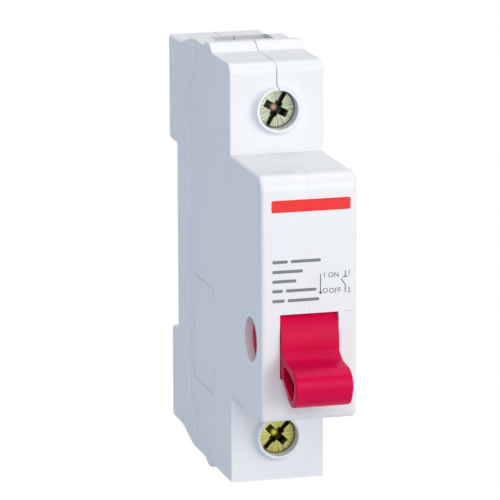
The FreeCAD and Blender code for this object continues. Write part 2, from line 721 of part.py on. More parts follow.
def handle(doc, s):
    """Drum, trunnions and slotted lever in one moulding, turned to the off stop."""
    body = new_body(doc, "handle")
    across_width(body, "drum", [(0, 0, s.drum_radius)], s.drum_width)
    across_width(body, "trunnions", [(0, 0, s.trunnion_radius)], 2 * s.trunnion_reach)
    root = s.drum_radius / 2
    lever = [
        (-root, -s.neck_half),
        (-s.neck_end, -s.neck_half),
        (-s.grip_start, -s.grip_half),
        (-s.lever_length, -s.grip_half),
        (-s.lever_length, s.grip_half),
        (-s.grip_start, s.grip_half),
        (-s.neck_end, s.neck_half),
        (-root, s.neck_half),
    ]
    across_width(body, "lever", [lever], s.drum_width)
    tips = [(-s.lever_length, s.grip_half), (-s.lever_length, -s.grip_half)]
    round_off(body, "grip_fillet", s.grip_round, crosswise_at(*tips))
    bends = [(-s.grip_start, s.grip_half), (-s.grip_start, -s.grip_half)]
    bends += [(-s.neck_end, s.neck_half), (-s.neck_end, -s.neck_half)]
    round_off(body, "bend_fillet", s.bend_round, crosswise_at(*bends))
    middle = (s.slot_start + s.slot_end) / 2
    slot = [
        (-s.slot_start, -s.slot_narrow),
        (-middle, -s.slot_half),
        (-s.slot_end, -s.slot_half),
        (-s.slot_end, s.slot_half),
        (-middle, s.slot_half),
        (-s.slot_start, s.slot_narrow),
    ]
    across_width(body, "tie_bar_slot", [slot], s.drum_width + POCKET_MARGIN, cut=True)
    corners = [(-s.slot_start, s.slot_narrow), (-s.slot_start, -s.slot_narrow)]
    corners += [(-s.slot_end, s.slot_half), (-s.slot_end, -s.slot_half)]
    round_off(body, "slot_fillet", s.slot_round, crosswise_at(*corners))
    crank = (0, s.crank_radius, s.link_radius + s.link_play)
    prism(body, "crank_hole", "YZ_Plane", [crank], -s.link_reach - s.link_radius, s.drum_width, cut=True)
    y, z = torsion_leg_end(s)
    turn = radians(s.swing.value / 2)
    hole = s.spring_wire / 2 + s.slide_gap
    leg = (y * cos(turn) + z * sin(turn), z * cos(turn) - y * sin(turn), hole)
    floor = s.spring_hook + s.hook_play - s.drum_width / 2
    prism(body, "spring_hole", "YZ_Plane", [leg], -s.drum_width, floor, cut=True)
    side = s.drum_width.value / 2
    start = s.drum_radius.value

    def lever_edges(edge):
        box = edge.BoundBox
        return box.XLength < NEAR and abs(abs(box.XMin) - side) < NEAR and box.YMin < -start - NEAR

    round_off(body, "lever_fillet", s.lever_edge, lever_edges)
    place(body, 0, -s.pivot_depth, -s.pivot_drop, (1, 0, 0), s.swing / 2)
    return body


def torsion_leg_end(s):
    """(y, z) of the torsion spring's short leg where it enters the drum, from the handle axis."""
    return torsion_radius(s), s.spring_leg


def swept(path, radius):
    """A round wire along a list of joined edges."""
    wire = Part.Wire(path)
    start = path[0].valueAt(path[0].FirstParameter)
    tangent = path[0].tangentAt(path[0].FirstParameter)
    section = Part.Wire([Part.Circle(start, tangent, radius).toShape()])
    return wire.makePipeShell([section], True, True)


def bent(points, bend):
    """Edges through the points, each corner a tangent arc of the bend radius."""
    edges = []
    start = points[0]
    for i in range(1, len(points) - 1):
        corner = points[i]
        back = (points[i - 1] - corner).normalize()
        ahead = (points[i + 1] - corner).normalize()
        arc_in = corner + back * bend
        arc_out = corner + ahead * bend
        middle = corner + (back + ahead) * bend * (1 - cos(pi / 4))
        edges.append(Part.LineSegment(start, arc_in).toShape())
        edges.append(Part.Arc(arc_in, middle, arc_out).toShape())
        start = arc_out
    edges.append(Part.LineSegment(start, points[-1]).toShape())
    return edges


def wire_piece(doc, name, shape, **placed):
    piece = doc.addObject("Part::Feature", name)
    piece.Label = name
    piece.Shape = shape
    place(piece, **placed)
    return piece


def crank_place(s):
    """(y, z) of the crank hole when off, from the handle axis."""
    turn = radians(s.swing.value / 2)
    return -s.crank_radius.value * sin(turn), s.crank_radius.value * cos(turn)


def link_height(s):
    """Z of the link: the mean height of the crank hole over the swing."""
    top = s.crank_radius.value
    return -s.pivot_drop + (top + crank_place(s)[1]) / 2


def link_pins(s):
    """Y of the front and the rear pin when off."""
    front = -s.pivot_depth + crank_place(s)[0]
    return front, front + s.link_length


def link(doc, s):
    """A wire bent to a U: both ends are pins along X."""
    bar = s.drum_width.value / 2 + s.slide_gap.value + s.link_radius.value
    inner = -s.link_reach.value
    length = s.link_length.value
    points = [
        FreeCAD.Vector(inner, 0, 0),
        FreeCAD.Vector(bar, 0, 0),
        FreeCAD.Vector(bar, length, 0),
        FreeCAD.Vector(inner, length, 0),
    ]
    shape = swept(bent(points, s.link_bend.value), s.link_radius.value)
    return wire_piece(doc, "link", shape, y=link_pins(s)[0], z=link_height(s))


def bridge_back(s):
    """Y of the bridge's back face when off."""
    return -(s.strip_front + s.tip_thickness + s.contact_rest + s.stroke + s.tip_thickness)


def carrier(doc, s):
    """Slider with a window for the bridge, side runners and a hole for the link."""
    body = new_body(doc, "contact_carrier")
    half = s.carrier_height / 2
    outline = rectangle(-s.carrier_front, -half, -s.carrier_back, half)
    across_width(body, "slider", [outline], s.carrier_width)
    runner = rectangle(-s.carrier_front, s.runner_low, -s.carrier_back, s.runner_high)
    inside = s.module_width - 2 * s.side_wall - 2 * s.slide_gap
    across_width(body, "runners", [runner], inside)
    back = bridge_back(s) + s.seat_gap
    window = rectangle(back - s.window_length, -half - NEAR, back, half + NEAR)
    across_width(body, "bridge_window", [window], s.window_width, cut=True)
    pin = (link_pins(s)[1], link_height(s), s.link_radius + s.seat_gap)
    prism(body, "link_hole", "YZ_Plane", [pin], -s.link_reach - s.link_radius, s.carrier_width, cut=True)
    ends = [(y, z) for y in (-s.carrier_front, -s.carrier_back) for z in (-half, half)]
    round_off(body, "slider_chamfer", s.rib / 2, crosswise_at(*ends), kind="Chamfer")
    place(body)
    return body


def bar_corners(wide):
    """Picks a flat bar's corner edges: straight, along Y, at the bar's full half width."""

    def test(edge):
        box = edge.BoundBox
        if box.YLength < NEAR or box.XLength + box.ZLength > NEAR:
            return False
        return abs(box.XMin) > wide.value - NEAR

    return test


def bridge(doc, s):
    """Copper bar with two holes for its tips."""
    body = new_body(doc, "contact_bridge")
    wide, half = s.bridge_width / 2, s.bridge_length / 2
    corners = rectangle(-wide, -half, wide, half)
    prism(body, "bar", "XZ_Plane", [corners], 0, s.bridge_thickness)
    holes = [(0, side * s.tip_height, s.rivet_radius + s.seat_gap) for side in (1, -1)]
    prism(body, "tip_holes", "XZ_Plane", holes, 0, s.bridge_thickness, cut=True)
    round_off(body, "bar_fillet", s.rivet_radius, bar_corners(wide))
    place(body, y=bridge_back(s))
    return body


def tip(doc, s, name, y, z, stem, towards):
    """A silver rivet: a domed head, and a stem through its bar. It faces -Y or +Y."""
    body = new_body(doc, name)
    profile = [
        (0, -stem),
        (s.rivet_radius, -stem),
        (s.rivet_radius, 0),
        (s.tip_radius, 0),
        (s.tip_radius, s.tip_thickness - s.tip_bevel),
        (s.tip_radius - s.tip_bevel, s.tip_thickness),
        (0, s.tip_thickness),
    ]
    turned(body, f"{name}_rivet", profile)
    place(body, y=y, z=z, axis=(1, 0, 0), angle=-90 * towards)
    return body


def fixed_contact(doc, s, name, sign):
    """Copper strip from the switching point to the clamp cage."""
    body = new_body(doc, name)
    wide = s.strip_width / 2
    inner, outer = sorted((sign * s.strip_inner, sign * s.strip_outer), key=lambda size: size.value)
    strip = rectangle(-wide, inner, wide, outer)
    prism(body, f"{name}_strip", "XZ_Plane", [strip], 0, s.strip_thickness)
    hole = (0, sign * s.tip_height, s.rivet_radius + s.seat_gap)
    prism(body, f"{name}_hole", "XZ_Plane", [hole], 0, s.strip_thickness, cut=True)
    round_off(body, f"{name}_fillet", s.rivet_radius, bar_corners(wide))
    place(body, y=s.strip_thickness - s.strip_front)
    return body


def spun(corners, degrees):
    """The corners turned about the middle of their plane."""
    turn = radians(degrees.value)
    points = [(as_size(a), as_size(b)) for a, b in corners]
    return [(a * cos(turn) - b * sin(turn), a * sin(turn) + b * cos(turn)) for a, b in points]


def cross_outline(arm, short, long):
    """A cross about the middle: half the width of its arms, and their two reaches."""
    return [
        (-short, -arm), (-arm, -arm), (-arm, -long), (arm, -long), (arm, -arm), (short, -arm),
        (short, arm), (arm, arm), (arm, long), (-arm, long), (-arm, arm), (-short, arm),
    ]


def terminal_screw(doc, s, name, sign):
    """M5 screw with a slot and cross arms in its head, which faces the front."""
    body = new_body(doc, name)
    length = head_face(s) - s.strip_front - 2 * s.slide_gap
    bevel = s.thread_pitch / 2
    profile = [
        (0, -length),
        (s.shank_radius - bevel, -length),
        (s.shank_radius, bevel - length),
        (s.shank_radius, -s.head_height),
        (s.head_radius, -s.head_height),
        (s.head_radius, -bevel),
        (s.head_radius - bevel, 0),
        (0, 0),
    ]
    turned(body, f"{name}_blank", profile)
    half = s.slot_width / 2
    reach = s.head_radius + half
    slot = spun(rectangle(-reach, -half, reach, half), s.slot_turn)
    prism(body, f"{name}_slot", "XY_Plane", [slot], -s.recess_depth, NEAR, cut=True)
    cross = spun(cross_outline(s.cross_width / 2, s.cross_short, s.cross_reach), s.slot_turn)
    prism(body, f"{name}_cross", "XY_Plane", [cross], -s.cross_depth, NEAR, cut=True)
    place(body, 0, -head_face(s), sign * s.terminal_height, (1, 0, 0), 90)
    return body


def head_face(s):
    """Face of the terminal screw heads, ahead of the rail seat."""
    return s.shoulder_depth + s.collar_rise - s.head_depth


def clamp_cage(doc, s, name, sign):
    """Folded steel box with a threaded neck in its front wall."""
    body = new_body(doc, name)
    half = s.cage_width / 2
    middle = sign * s.terminal_height
    low, high = middle - s.cage_height / 2, middle + s.cage_height / 2
    outer = rectangle(-half, -s.cage_front, half, -s.cage_back)
    inside = half - s.cage_wall
    inner = rectangle(-inside, s.cage_wall - s.cage_front, inside, -s.cage_back - s.cage_wall)
    prism(body, f"{name}_box", "XY_Plane", [outer], low, high)
    prism(body, f"{name}_inside", "XY_Plane", [inner], low, high, cut=True)
    corners = [(x, y) for x in (-half, half) for y in (-s.cage_front, -s.cage_back)]
    spots = [(x.value, y.value) for x, y in corners]

    def outer_corner(edge):
        box = edge.BoundBox
        if box.ZLength < NEAR or box.XLength + box.YLength > NEAR:
            return False
        return any(hypot(box.XMin - x, box.YMin - y) < NEAR for x, y in spots)

    round_off(body, f"{name}_fillet", s.cage_wall, outer_corner)
    neck = (0, middle, s.shank_radius + s.cage_wall)
    back = s.cage_front - s.cage_wall
    prism(body, f"{name}_neck", "XZ_Plane", [neck], back - s.cage_neck, back + s.cage_wall / 2)
    teeth = s.cage_back + s.cage_wall
    ridges = []
    for step in range(-2, 3):
        low = middle + step * s.bite_pitch - s.bite_width / 2
        ridges.append(rectangle(-inside, low, inside, low + s.bite_width))
    prism(body, f"{name}_teeth", "XZ_Plane", ridges, teeth - s.bite_height, teeth + s.bite_height)
    bore = (0, middle, s.shank_radius + s.seat_gap)
    prism(body, f"{name}_bore", "XZ_Plane", [bore], back - s.cage_neck, s.cage_front, cut=True)
    place(body)
    return body


def coil(radius, wire, length, turns):
    """A round wire coiled about Z, from 0 to its length over the wire."""
    rise = length - wire
    helix = Part.makeHelix(rise / turns, rise, radius)
    helix.translate(FreeCAD.Vector(0, 0, wire / 2))
    return swept(helix.Edges, wire / 2)


def contact_spring(doc, s):
    """Compression spring between the carrier's window and the bridge."""
    back = bridge_back(s) - s.bridge_thickness
    front = bridge_back(s) + s.seat_gap - s.window_length
    length = (back - front).value - 2 * s.seat_gap.value
    shape = coil(s.contact_coil.value, s.contact_wire.value, length, s.contact_turns.value)
    return wire_piece(doc, "contact_spring", shape, y=back - s.seat_gap, axis=(1, 0, 0), angle=90)


def clip_spring(doc, s):
    """Compression spring between the housing's tab and the rail clip."""
    length = s.spring_room.value - 2 * s.seat_gap.value
    shape = coil(s.clip_coil.value, s.clip_wire.value, length, s.clip_turns.value)
    middle = (s.clip_front + s.clip_back) / 2
    base = s.tab_thickness - s.tab_bottom + s.seat_gap
    return wire_piece(doc, "clip_spring", shape, y=middle, z=base)


def handle_spring(doc, s):
    """Torsion spring round the left bearing boss, with a leg in the drum and one on its post."""
    radius = torsion_radius(s).value
    wire = s.spring_wire.value
    turns = s.spring_turns.value
    pitch = wire + s.spring_space.value
    helix = Part.makeHelix(pitch, pitch * turns, radius)
    curve = helix.Edges[0]
    first = curve.valueAt(curve.FirstParameter)
    last = curve.valueAt(curve.LastParameter)
    first_way = curve.tangentAt(curve.FirstParameter)
    last_way = curve.tangentAt(curve.LastParameter)
    foot = first - first_way * s.spring_leg.value
    knee = FreeCAD.Vector(foot.x, foot.y, foot.z - s.spring_hook.value)
    short = bent([knee, foot, first], s.spring_bend.value)
    arm = Part.LineSegment(last, last + last_way * s.spring_arm.value).toShape()
    shape = swept(short + [curve, arm], wire / 2)
    x = -(s.drum_width / 2 + s.slide_gap + s.spring_wire / 2)
    turned_so = {"axis": (-1, -1, 1), "angle": 120}
    return wire_piece(doc, "handle_spring", shape, x=x, y=-s.pivot_depth, z=-s.pivot_drop, **turned_so)


def rail_clip(doc, s):
    """Sliding clip with a bevelled nose, a spring window and a tail."""
    body = new_body(doc, "rail_clip")
    bevel = (s.clip_back - s.clip_front) / 2
    profile = [
        (s.clip_front, -s.clip_tail),
        (s.clip_front, -s.clip_nose),
        (s.clip_back - bevel, -s.clip_nose),
        (s.clip_back, -s.clip_nose - bevel),
        (s.clip_back, -s.clip_tail),
    ]
    across_width(body, "clip_plate", [profile], s.clip_width)
    low = -s.tab_bottom - s.slide_gap
    high = s.tab_thickness - s.tab_bottom + s.spring_room
    half = s.tab_width / 2 + s.slide_gap
    window = rectangle(-half, low, half, high)
    prism(body, "spring_window", "XZ_Plane", [window], -s.clip_back - NEAR, NEAR - s.clip_front, cut=True)
    place(body)
    return body


def case_screw(doc, s, name, spot):
    """Self-tapping screw with a cross recess, put in from the right."""
    body = new_body(doc, name)
    head = s.case_head_height
    reach = s.module_width - s.side_wall - s.side_step - s.case_head_depth - s.side_wall / 2
    profile = [
        (0, -reach),
        (s.case_point, -reach),
        (s.case_shank, s.case_shank - reach),
        (s.case_shank, -head),
        (s.case_head, -head),
        (s.case_head, -s.case_bevel),
        (s.case_head - s.case_bevel, 0),
        (0, 0),
    ]
    turned(body, f"{name}_blank", profile)
    cross = cross_outline(s.case_slot / 2, s.case_cross, s.case_cross)
    prism(body, f"{name}_recess", "XY_Plane", [cross], -s.case_cross_depth, NEAR, cut=True)
    face = s.module_width / 2 - s.side_step - s.case_head_depth
    place(body, face, spot[0], spot[1], (0, 1, 0), 90)
    return body


def build(doc):
    s = make_sheet(doc)
    pieces = shells(doc, s, housing(doc, s))
    pieces.append(handle(doc, s))
    pieces.append(link(doc, s))
    pieces.append(carrier(doc, s))
    pieces.append(bridge(doc, s))
    fixed_face = -s.strip_front
    for sign, name in ((1, "upper"), (-1, "lower")):
        height = sign * s.tip_height
        pieces.append(fixed_contact(doc, s, f"{name}_fixed_contact", sign))
        pieces.append(tip(doc, s, f"{name}_fixed_tip", fixed_face, height, s.strip_thickness, -1))
        pieces.append(tip(doc, s, f"{name}_moving_tip", bridge_back(s), height, s.bridge_thickness, 1))
        pieces.append(terminal_screw(doc, s, f"{name}_terminal_screw", sign))
        pieces.append(clamp_cage(doc, s, f"{name}_clamp_cage", sign))
    pieces.append(contact_spring(doc, s))
    pieces.append(handle_spring(doc, s))
    pieces.append(rail_clip(doc, s))
    pieces.append(clip_spring(doc, s))
    for number, spot in enumerate(screw_spots(s), start=1):
        pieces.append(case_screw(doc, s, f"case_screw_{number}", spot))
    doc.recompute()
    return pieces


def check(doc, pieces):
    """Stops if an object of the document failed, or a piece is not one sound solid."""
    for item in doc.Objects:
        if "Invalid" in item.State or "Error" in item.State:
            raise RuntimeError(f"{item.Label} is {item.State}")
    for piece in pieces:
        shape = piece.Shape
        if shape.isNull() or not shape.isValid():
            raise RuntimeError(f"{piece.Label} is not a sound shape")
        if len(shape.Solids) != 1:
            raise RuntimeError(f"{piece.Label} has {len(shape.Solids)} solids")


def main():
    doc = FreeCAD.newDocument("modular_switch")
    pieces = build(doc)
    check(doc, pieces)
    os.makedirs("parts", exist_ok=True)
    for piece in pieces:
        piece.Shape.exportStep(f"parts/{piece.Label}.step")
        print(f"{piece.Label:24s} {piece.Shape.Volume:9.2f} mm3")


main()
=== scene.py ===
from math import pi, radians

import bmesh
import bpy
from mathutils import Matrix, Vector


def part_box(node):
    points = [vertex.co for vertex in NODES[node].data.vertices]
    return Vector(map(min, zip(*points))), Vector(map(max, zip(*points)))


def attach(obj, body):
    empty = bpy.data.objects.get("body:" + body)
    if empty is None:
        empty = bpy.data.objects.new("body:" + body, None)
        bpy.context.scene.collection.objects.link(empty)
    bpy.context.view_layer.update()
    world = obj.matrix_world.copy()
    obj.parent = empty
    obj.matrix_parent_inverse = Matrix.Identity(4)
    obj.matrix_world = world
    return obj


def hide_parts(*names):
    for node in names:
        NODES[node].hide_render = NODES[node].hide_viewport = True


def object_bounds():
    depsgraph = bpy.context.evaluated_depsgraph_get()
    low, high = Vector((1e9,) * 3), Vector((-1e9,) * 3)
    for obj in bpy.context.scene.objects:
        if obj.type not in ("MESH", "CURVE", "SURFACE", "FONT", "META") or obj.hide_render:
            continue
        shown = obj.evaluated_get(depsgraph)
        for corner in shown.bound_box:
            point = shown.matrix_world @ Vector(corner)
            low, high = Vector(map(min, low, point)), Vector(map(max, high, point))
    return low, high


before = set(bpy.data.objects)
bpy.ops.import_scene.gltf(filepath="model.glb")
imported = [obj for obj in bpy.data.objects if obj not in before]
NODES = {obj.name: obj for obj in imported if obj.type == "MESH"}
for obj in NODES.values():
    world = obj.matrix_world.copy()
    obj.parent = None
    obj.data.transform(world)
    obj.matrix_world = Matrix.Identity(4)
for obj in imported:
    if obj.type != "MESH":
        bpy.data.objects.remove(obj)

bl_info = {
    "name": "Modular rail switch",
    "version": (1, 0, 0),
    "blender": (4, 5, 0),
    "location": "View3D > Sidebar > Switch",
    "description": "Surfaces, front print and stage of a single-pole modular rail switch",
    "category": "Object",
}

# Metres, in the construction's frame: X across the module, -Y the front, +Z up,
# with the origin on the mid-plane, on the rail's seat.
MM = 0.001
CAD_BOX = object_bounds()
NOSE_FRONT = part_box("left_shell")[0].y

TERMINAL_HEIGHT = 30.6 * MM
SHOULDER = -38.0 * MM
COLLAR_FRONT = -39.5 * MM
PIVOT = Vector((0.0, -51.6 * MM, -8.5 * MM))
OFF_TURN = radians(23.0)

# Edges that turn by more than this are corners
CORNER = radians(30.0)

# Corners closer than this lie at the same place
NEAR = 0.01 * MM

# Soft sink marks of the left side, over the bosses inside it: along Y, along Z
SINK_MARKS = ((-4.5, 21.9), (-4.6, 15.5), (-5.7, -22.5), (-51.8, 18.9), (-47.0, -19.3))


def linear(code):
    """Turns an sRGB hex colour to linear RGB."""
    channels = [int(code[i:i + 2], 16) / 255 for i in (1, 3, 5)]
    return tuple(c / 12.92 if c <= 0.04045 else ((c + 0.055) / 1.055) ** 2.4 for c in channels)


def colour(name, description, code):
    """A colour that a user can change."""
    return bpy.props.FloatVectorProperty(
        name=name, description=description, default=linear(code), subtype="COLOR", size=3, min=0, max=1
    )


def length(name, description, millimetres):
    """A length that a user can change."""
    return bpy.props.FloatProperty(
        name=name, description=description, default=millimetres * MM, min=0, precision=6,
        subtype="DISTANCE", unit="LENGTH"
    )


def angle(name, description, degrees):
    """An angle that a user can change."""
    return bpy.props.FloatProperty(
        name=name, description=description, default=radians(degrees), subtype="ANGLE", unit="ROTATION"
    )


class SwitchColours(bpy.types.PropertyGroup):
    """Colours of the switch's materials."""

    housing: colour("Housing", "Pale grey-white of the moulded housing", "#F1F1F3")
    housing_tint: colour("Housing tint", "Cooler tone in the housing's clouding", "#E9ECF0")
    seam: colour("Seam", "Shadow line where the two shells meet", "#6F6A69")
    handle: colour("Handle", "Crimson of the toggle", "#D80146")
    handle_deep: colour("Handle, deep", "Darker streaks in the crimson", "#BC0038")
    carrier: colour("Carrier", "Dark moulding of the contact carrier", "#2C2D30")
    clip: colour("Rail clip", "Off-white moulding of the rail clip", "#DDDFE2")
    copper: colour("Copper", "Rolled copper of the contacts", "#C07A50")
    silver: colour("Silver", "Silver alloy of the contact tips", "#DAD9D4")
    upper_zinc: colour("Upper screw", "Grey-green zinc of the upper terminal screw", "#A9AF96")
    # Painted highlight at the foot of the upper screw's recess
    upper_painted_glint: colour("Upper screw, gleam", "Copper-brown gleam at the foot of its recess", "#C9A596")
    lower_zinc: colour("Lower screw", "Yellow zinc of the lower terminal screw", "#B5B05C")
    # Painted highlight at the foot of the lower screw's recess
    lower_painted_glint: colour("Lower screw, gleam", "Yellow gleam at the foot of its recess", "#F4F060")
    # Painted shade: this near-black colour stands in for the shade at the foot of the screws' slots and
    # recesses
    recess: colour("Screw recess", "Foot of a terminal screw's slot and recess", "#15170F")
    cage: colour("Clamp cage", "Pale zinc of the clamp cages", "#B9B8B0")
    spring: colour("Spring wire", "Drawn steel of the springs and the link", "#9FA1A6")
    case_screw: colour("Case screw", "Bright zinc of the case screws", "#B4B6BA")
    red_ink: colour("Red ink", "Band on the nose", "#F01818")
    grey_ink: colour("Grey ink", "Switch diagram", "#54565C")
    pale_ink: colour("Pale ink", "Bars that stand for the printed data", "#77797F")
    nose_line: colour("Nose line", "Faint moulding line beside the window", "#C9CACD")
    floor: colour("Floor", "Matt white board under the switch", "#E4EAF4")
    floor_fibre: colour("Floor, fibres", "Slightly darker fibres in the board", "#DEE4EE")
    room: colour("Room", "Even light from all round", "#F0F4FF")


class SwitchSizes(bpy.types.PropertyGroup):
    """Sizes of the modelled pieces, the printed marks and the surface texture."""

    collar_rim: length("Collar, rim", "Outer radius of a terminal collar's rim", 4.1)
    hole_radius: length("Screw hole, radius", "Hole that shows the screw head", 3.62)
    collar_foot: length("Collar, foot", "Hollow round between a collar and its shoulder", 1.15)
    head_radius: length("Screw head, radius", "Terminal screw head", 3.5)
    head_below: length("Screw head, depth", "Terminal screw head below the collar's rim", 2.1)
    head_back: length("Screw head, back", "Back of the head, ahead of the rail seat", 33.8)
    shank_radius: length("Shank, radius", "M5 shank of the terminal screw", 2.5)
    shank_end: length("Shank, end", "End of the shank, ahead of the rail seat", 18.8)
    drum_radius: length("Drum, radius", "Handle drum", 8.35)
    drum_width: length("Drum, width", "Handle drum, a hair over the lever's width", 10.64)
    lever_width: length("Lever, width", "Handle lever, along X", 10.6)
    lever_root: length("Lever, root", "Half thickness of the lever inside the drum", 3.6)
    lever_neck: length("Lever, neck", "Half thickness of the lever's neck", 2.15)
    lever_grip: length("Lever, grip", "Half thickness of the lever's grip", 3.45)
    lever_edge: length("Lever, edge", "Rounded side edges of the lever", 0.35)
    ink_film: length("Ink film", "Thickness of the printed marks", 0.02)
    band_width: length("Band, width", "Red band on the nose, along X", 14.6)
    band_height: length("Band, height", "Red band on the nose, along Z", 2.2)
    band_place: length("Band, place", "Middle of the red band, above the rail's centre line", 17.1)
    bar_height: length("Bar height", "Grey bars that stand for the printed data", 0.56)
    letter_size: length("Letter size", "Type size of ON and OFF", 1.28)
    line_width: length("Line width", "Lines of the switch diagram", 0.17)
    seam_width: length("Seam", "Width of the joint line between the shells", 0.11)
    grain: length("Grain", "Spacing of the housing's fine moulded grain", 0.35)


class SwitchStage(bpy.types.PropertyGroup):
    """Camera and light."""

    lens: bpy.props.FloatProperty(
        name="Lens", description="Focal length on a 36 mm frame", default=291.4, min=1,
        subtype="DISTANCE_CAMERA"
    )
    heading: angle("Heading", "Turn of the camera towards +X", 15.47)
    elevation: angle("Elevation", "Downward tilt of the camera", 12.65)
    roll: angle("Roll", "Roll of the camera", -0.18)
    sky: bpy.props.FloatProperty(
        name="Sky", description="Strength of the even light from all round", default=0.03, min=0
    )


def add(tree, kind, inputs, out=0, **settings):
    """Adds one node with its settings, values and links, and returns one of its outputs, if any."""
    made = tree.nodes.new("ShaderNode" + kind)
    for name, value in settings.items():
        setattr(made, name, value)
    for name, value in inputs.items():
        if isinstance(value, bpy.types.NodeSocket):
            tree.links.new(value, made.inputs[name])
        else:
            made.inputs[name].default_value = value
    return made.outputs[out] if made.outputs else None


def new_material(name):
    """An empty material, with its node tree."""
    material = bpy.data.materials.new(name)
    material.use_nodes = True
    material.node_tree.nodes.clear()
    return material, material.node_tree


def finish_material(tree, shader):
    """Links the shader to the surface."""
    add(tree, "OutputMaterial", {"Surface": shader})


def rgba(colour_value):
    """A colour with its alpha."""
    return (*colour_value, 1.0)


def give(material, *nodes):
    """Puts the material on construction nodes."""
    for name in nodes:
        slots = NODES[name].data.materials
        slots.clear()
        slots.append(material)


def moulded_housing(name, marks):
    """Moulded polyamide, satin from a fine spark-eroded tool: a soft, slightly cloudy white with a
    faint grain, a thin dark joint line on the ends and round shallow sink marks over the bosses."""
    colours = bpy.context.scene.switch_colours
    sizes = bpy.context.scene.switch_sizes
    material, tree = new_material(name)
    place = add(tree, "TexCoord", {}, out="Object")
    along_x, along_y, along_z = [add(tree, "SeparateXYZ", {"Vector": place}, out=axis) for axis in "XYZ"]

    cloud = add(tree, "TexNoise", {"Vector": place, "Scale": 1 / (14 * MM), "Detail": 2.0})
    base = add(
        tree, "Mix", {0: cloud, 6: rgba(colours.housing), 7: rgba(colours.housing_tint)},
        out=2, data_type="RGBA"
    )

    # The joint line: near x = 0, and faint below the upper collar, where the shells close tightly
    off_middle = add(tree, "Math", {0: along_x}, operation="ABSOLUTE")
    on_line = add(
        tree, "MapRange",
        {"Value": off_middle, "From Min": sizes.seam_width * 0.4, "From Max": sizes.seam_width,
         "To Min": 1.0, "To Max": 0.0}
    )
    elsewhere = add(
        tree, "MapRange",
        {"Value": along_z, "From Min": 31 * MM, "From Max": 34 * MM, "To Min": 0.09, "To Max": 1.0}
    )
    patchy = add(tree, "TexNoise", {"Vector": place, "Scale": 1 / (5 * MM), "Detail": 1.0})
    patchy = add(
        tree, "MapRange", {"Value": patchy, "From Min": 0.3, "From Max": 0.6, "To Min": 0.45, "To Max": 1.0}
    )
    seam = add(tree, "Math", {0: on_line, 1: elsewhere}, operation="MULTIPLY")
    seam = add(tree, "Math", {0: seam, 1: patchy}, operation="MULTIPLY")
    base = add(tree, "Mix", {0: seam, 6: base, 7: rgba(colours.seam)}, out=2, data_type="RGBA")

    grain = add(tree, "TexNoise", {"Vector": place, "Scale": 1 / sizes.grain, "Detail": 2.0})
    height = add(tree, "Math", {0: grain, 1: 0.004 * MM}, operation="MULTIPLY")
    seam_depth = add(tree, "Math", {0: seam, 1: -0.05 * MM}, operation="MULTIPLY")
    height = add(tree, "Math", {0: height, 1: seam_depth}, operation="ADD")
    for mark_y, mark_z in marks:
        across = add(tree, "Math", {0: along_y, 1: mark_y * MM}, operation="SUBTRACT")
        up = add(tree, "Math", {0: along_z, 1: mark_z * MM}, operation="SUBTRACT")
        aside = add(tree, "CombineXYZ", {"X": across, "Y": up})
        distance = add(tree, "VectorMath", {0: aside}, out="Value", operation="LENGTH")
        dip = add(
            tree, "MapRange",
            {"Value": distance, "From Min": 0.2 * MM, "From Max": 1.7 * MM,
             "To Min": -0.03 * MM, "To Max": 0.0},
            interpolation_type="SMOOTHSTEP"
        )
        height = add(tree, "Math", {0: height, 1: dip}, operation="ADD")
    relief = add(tree, "Bump", {"Height": height, "Strength": 1.0, "Distance": 1.0}, out="Normal")
    rough = add(tree, "MapRange", {"Value": cloud, "To Min": 0.36, "To Max": 0.46})
    shader = add(
        tree, "BsdfPrincipled",
        {"Base Color": base, "Roughness": rough, "IOR": 1.53, "Normal": relief,
         "Subsurface Weight": 0.08, "Subsurface Radius": (1.0, 0.95, 0.9), "Subsurface Scale": 0.4 * MM}
    )
    finish_material(tree, shader)
    return material


def moulded_crimson(name):
    """Moulded coloured polyamide, polished tool: an even crimson with faint flow streaks along the
    lever, a smooth semi-gloss face and a little light carried under the surface."""
    colours = bpy.context.scene.switch_colours
    material, tree = new_material(name)
    place = add(tree, "TexCoord", {}, out="Object")
    stretched = add(tree, "Mapping", {"Vector": place, "Scale": (0.25, 1.0, 1.0)})
    streak = add(tree, "TexNoise", {"Vector": stretched, "Scale": 1 / (2.2 * MM), "Detail": 2.0})
    amount = add(tree, "MapRange", {"Value": streak, "From Min": 0.45, "From Max": 0.8, "To Max": 0.5})
    base = add(
        tree, "Mix", {0: amount, 6: rgba(colours.handle), 7: rgba(colours.handle_deep)},
        out=2, data_type="RGBA"
    )
    skin = add(tree, "TexNoise", {"Vector": place, "Scale": 1 / (0.6 * MM), "Detail": 1.0})
    relief = add(tree, "Bump", {"Height": skin, "Strength": 0.25, "Distance": 0.01 * MM}, out="Normal")
    rough = add(tree, "MapRange", {"Value": streak, "To Min": 0.34, "To Max": 0.44})
    shader = add(
        tree, "BsdfPrincipled",
        {"Base Color": base, "Roughness": rough, "IOR": 1.53, "Specular IOR Level": 0.1, "Normal": relief,
         "Subsurface Weight": 0.05, "Subsurface Radius": (1.0, 0.2, 0.2), "Subsurface Scale": 0.4 * MM}
    )
    finish_material(tree, shader)
    return material


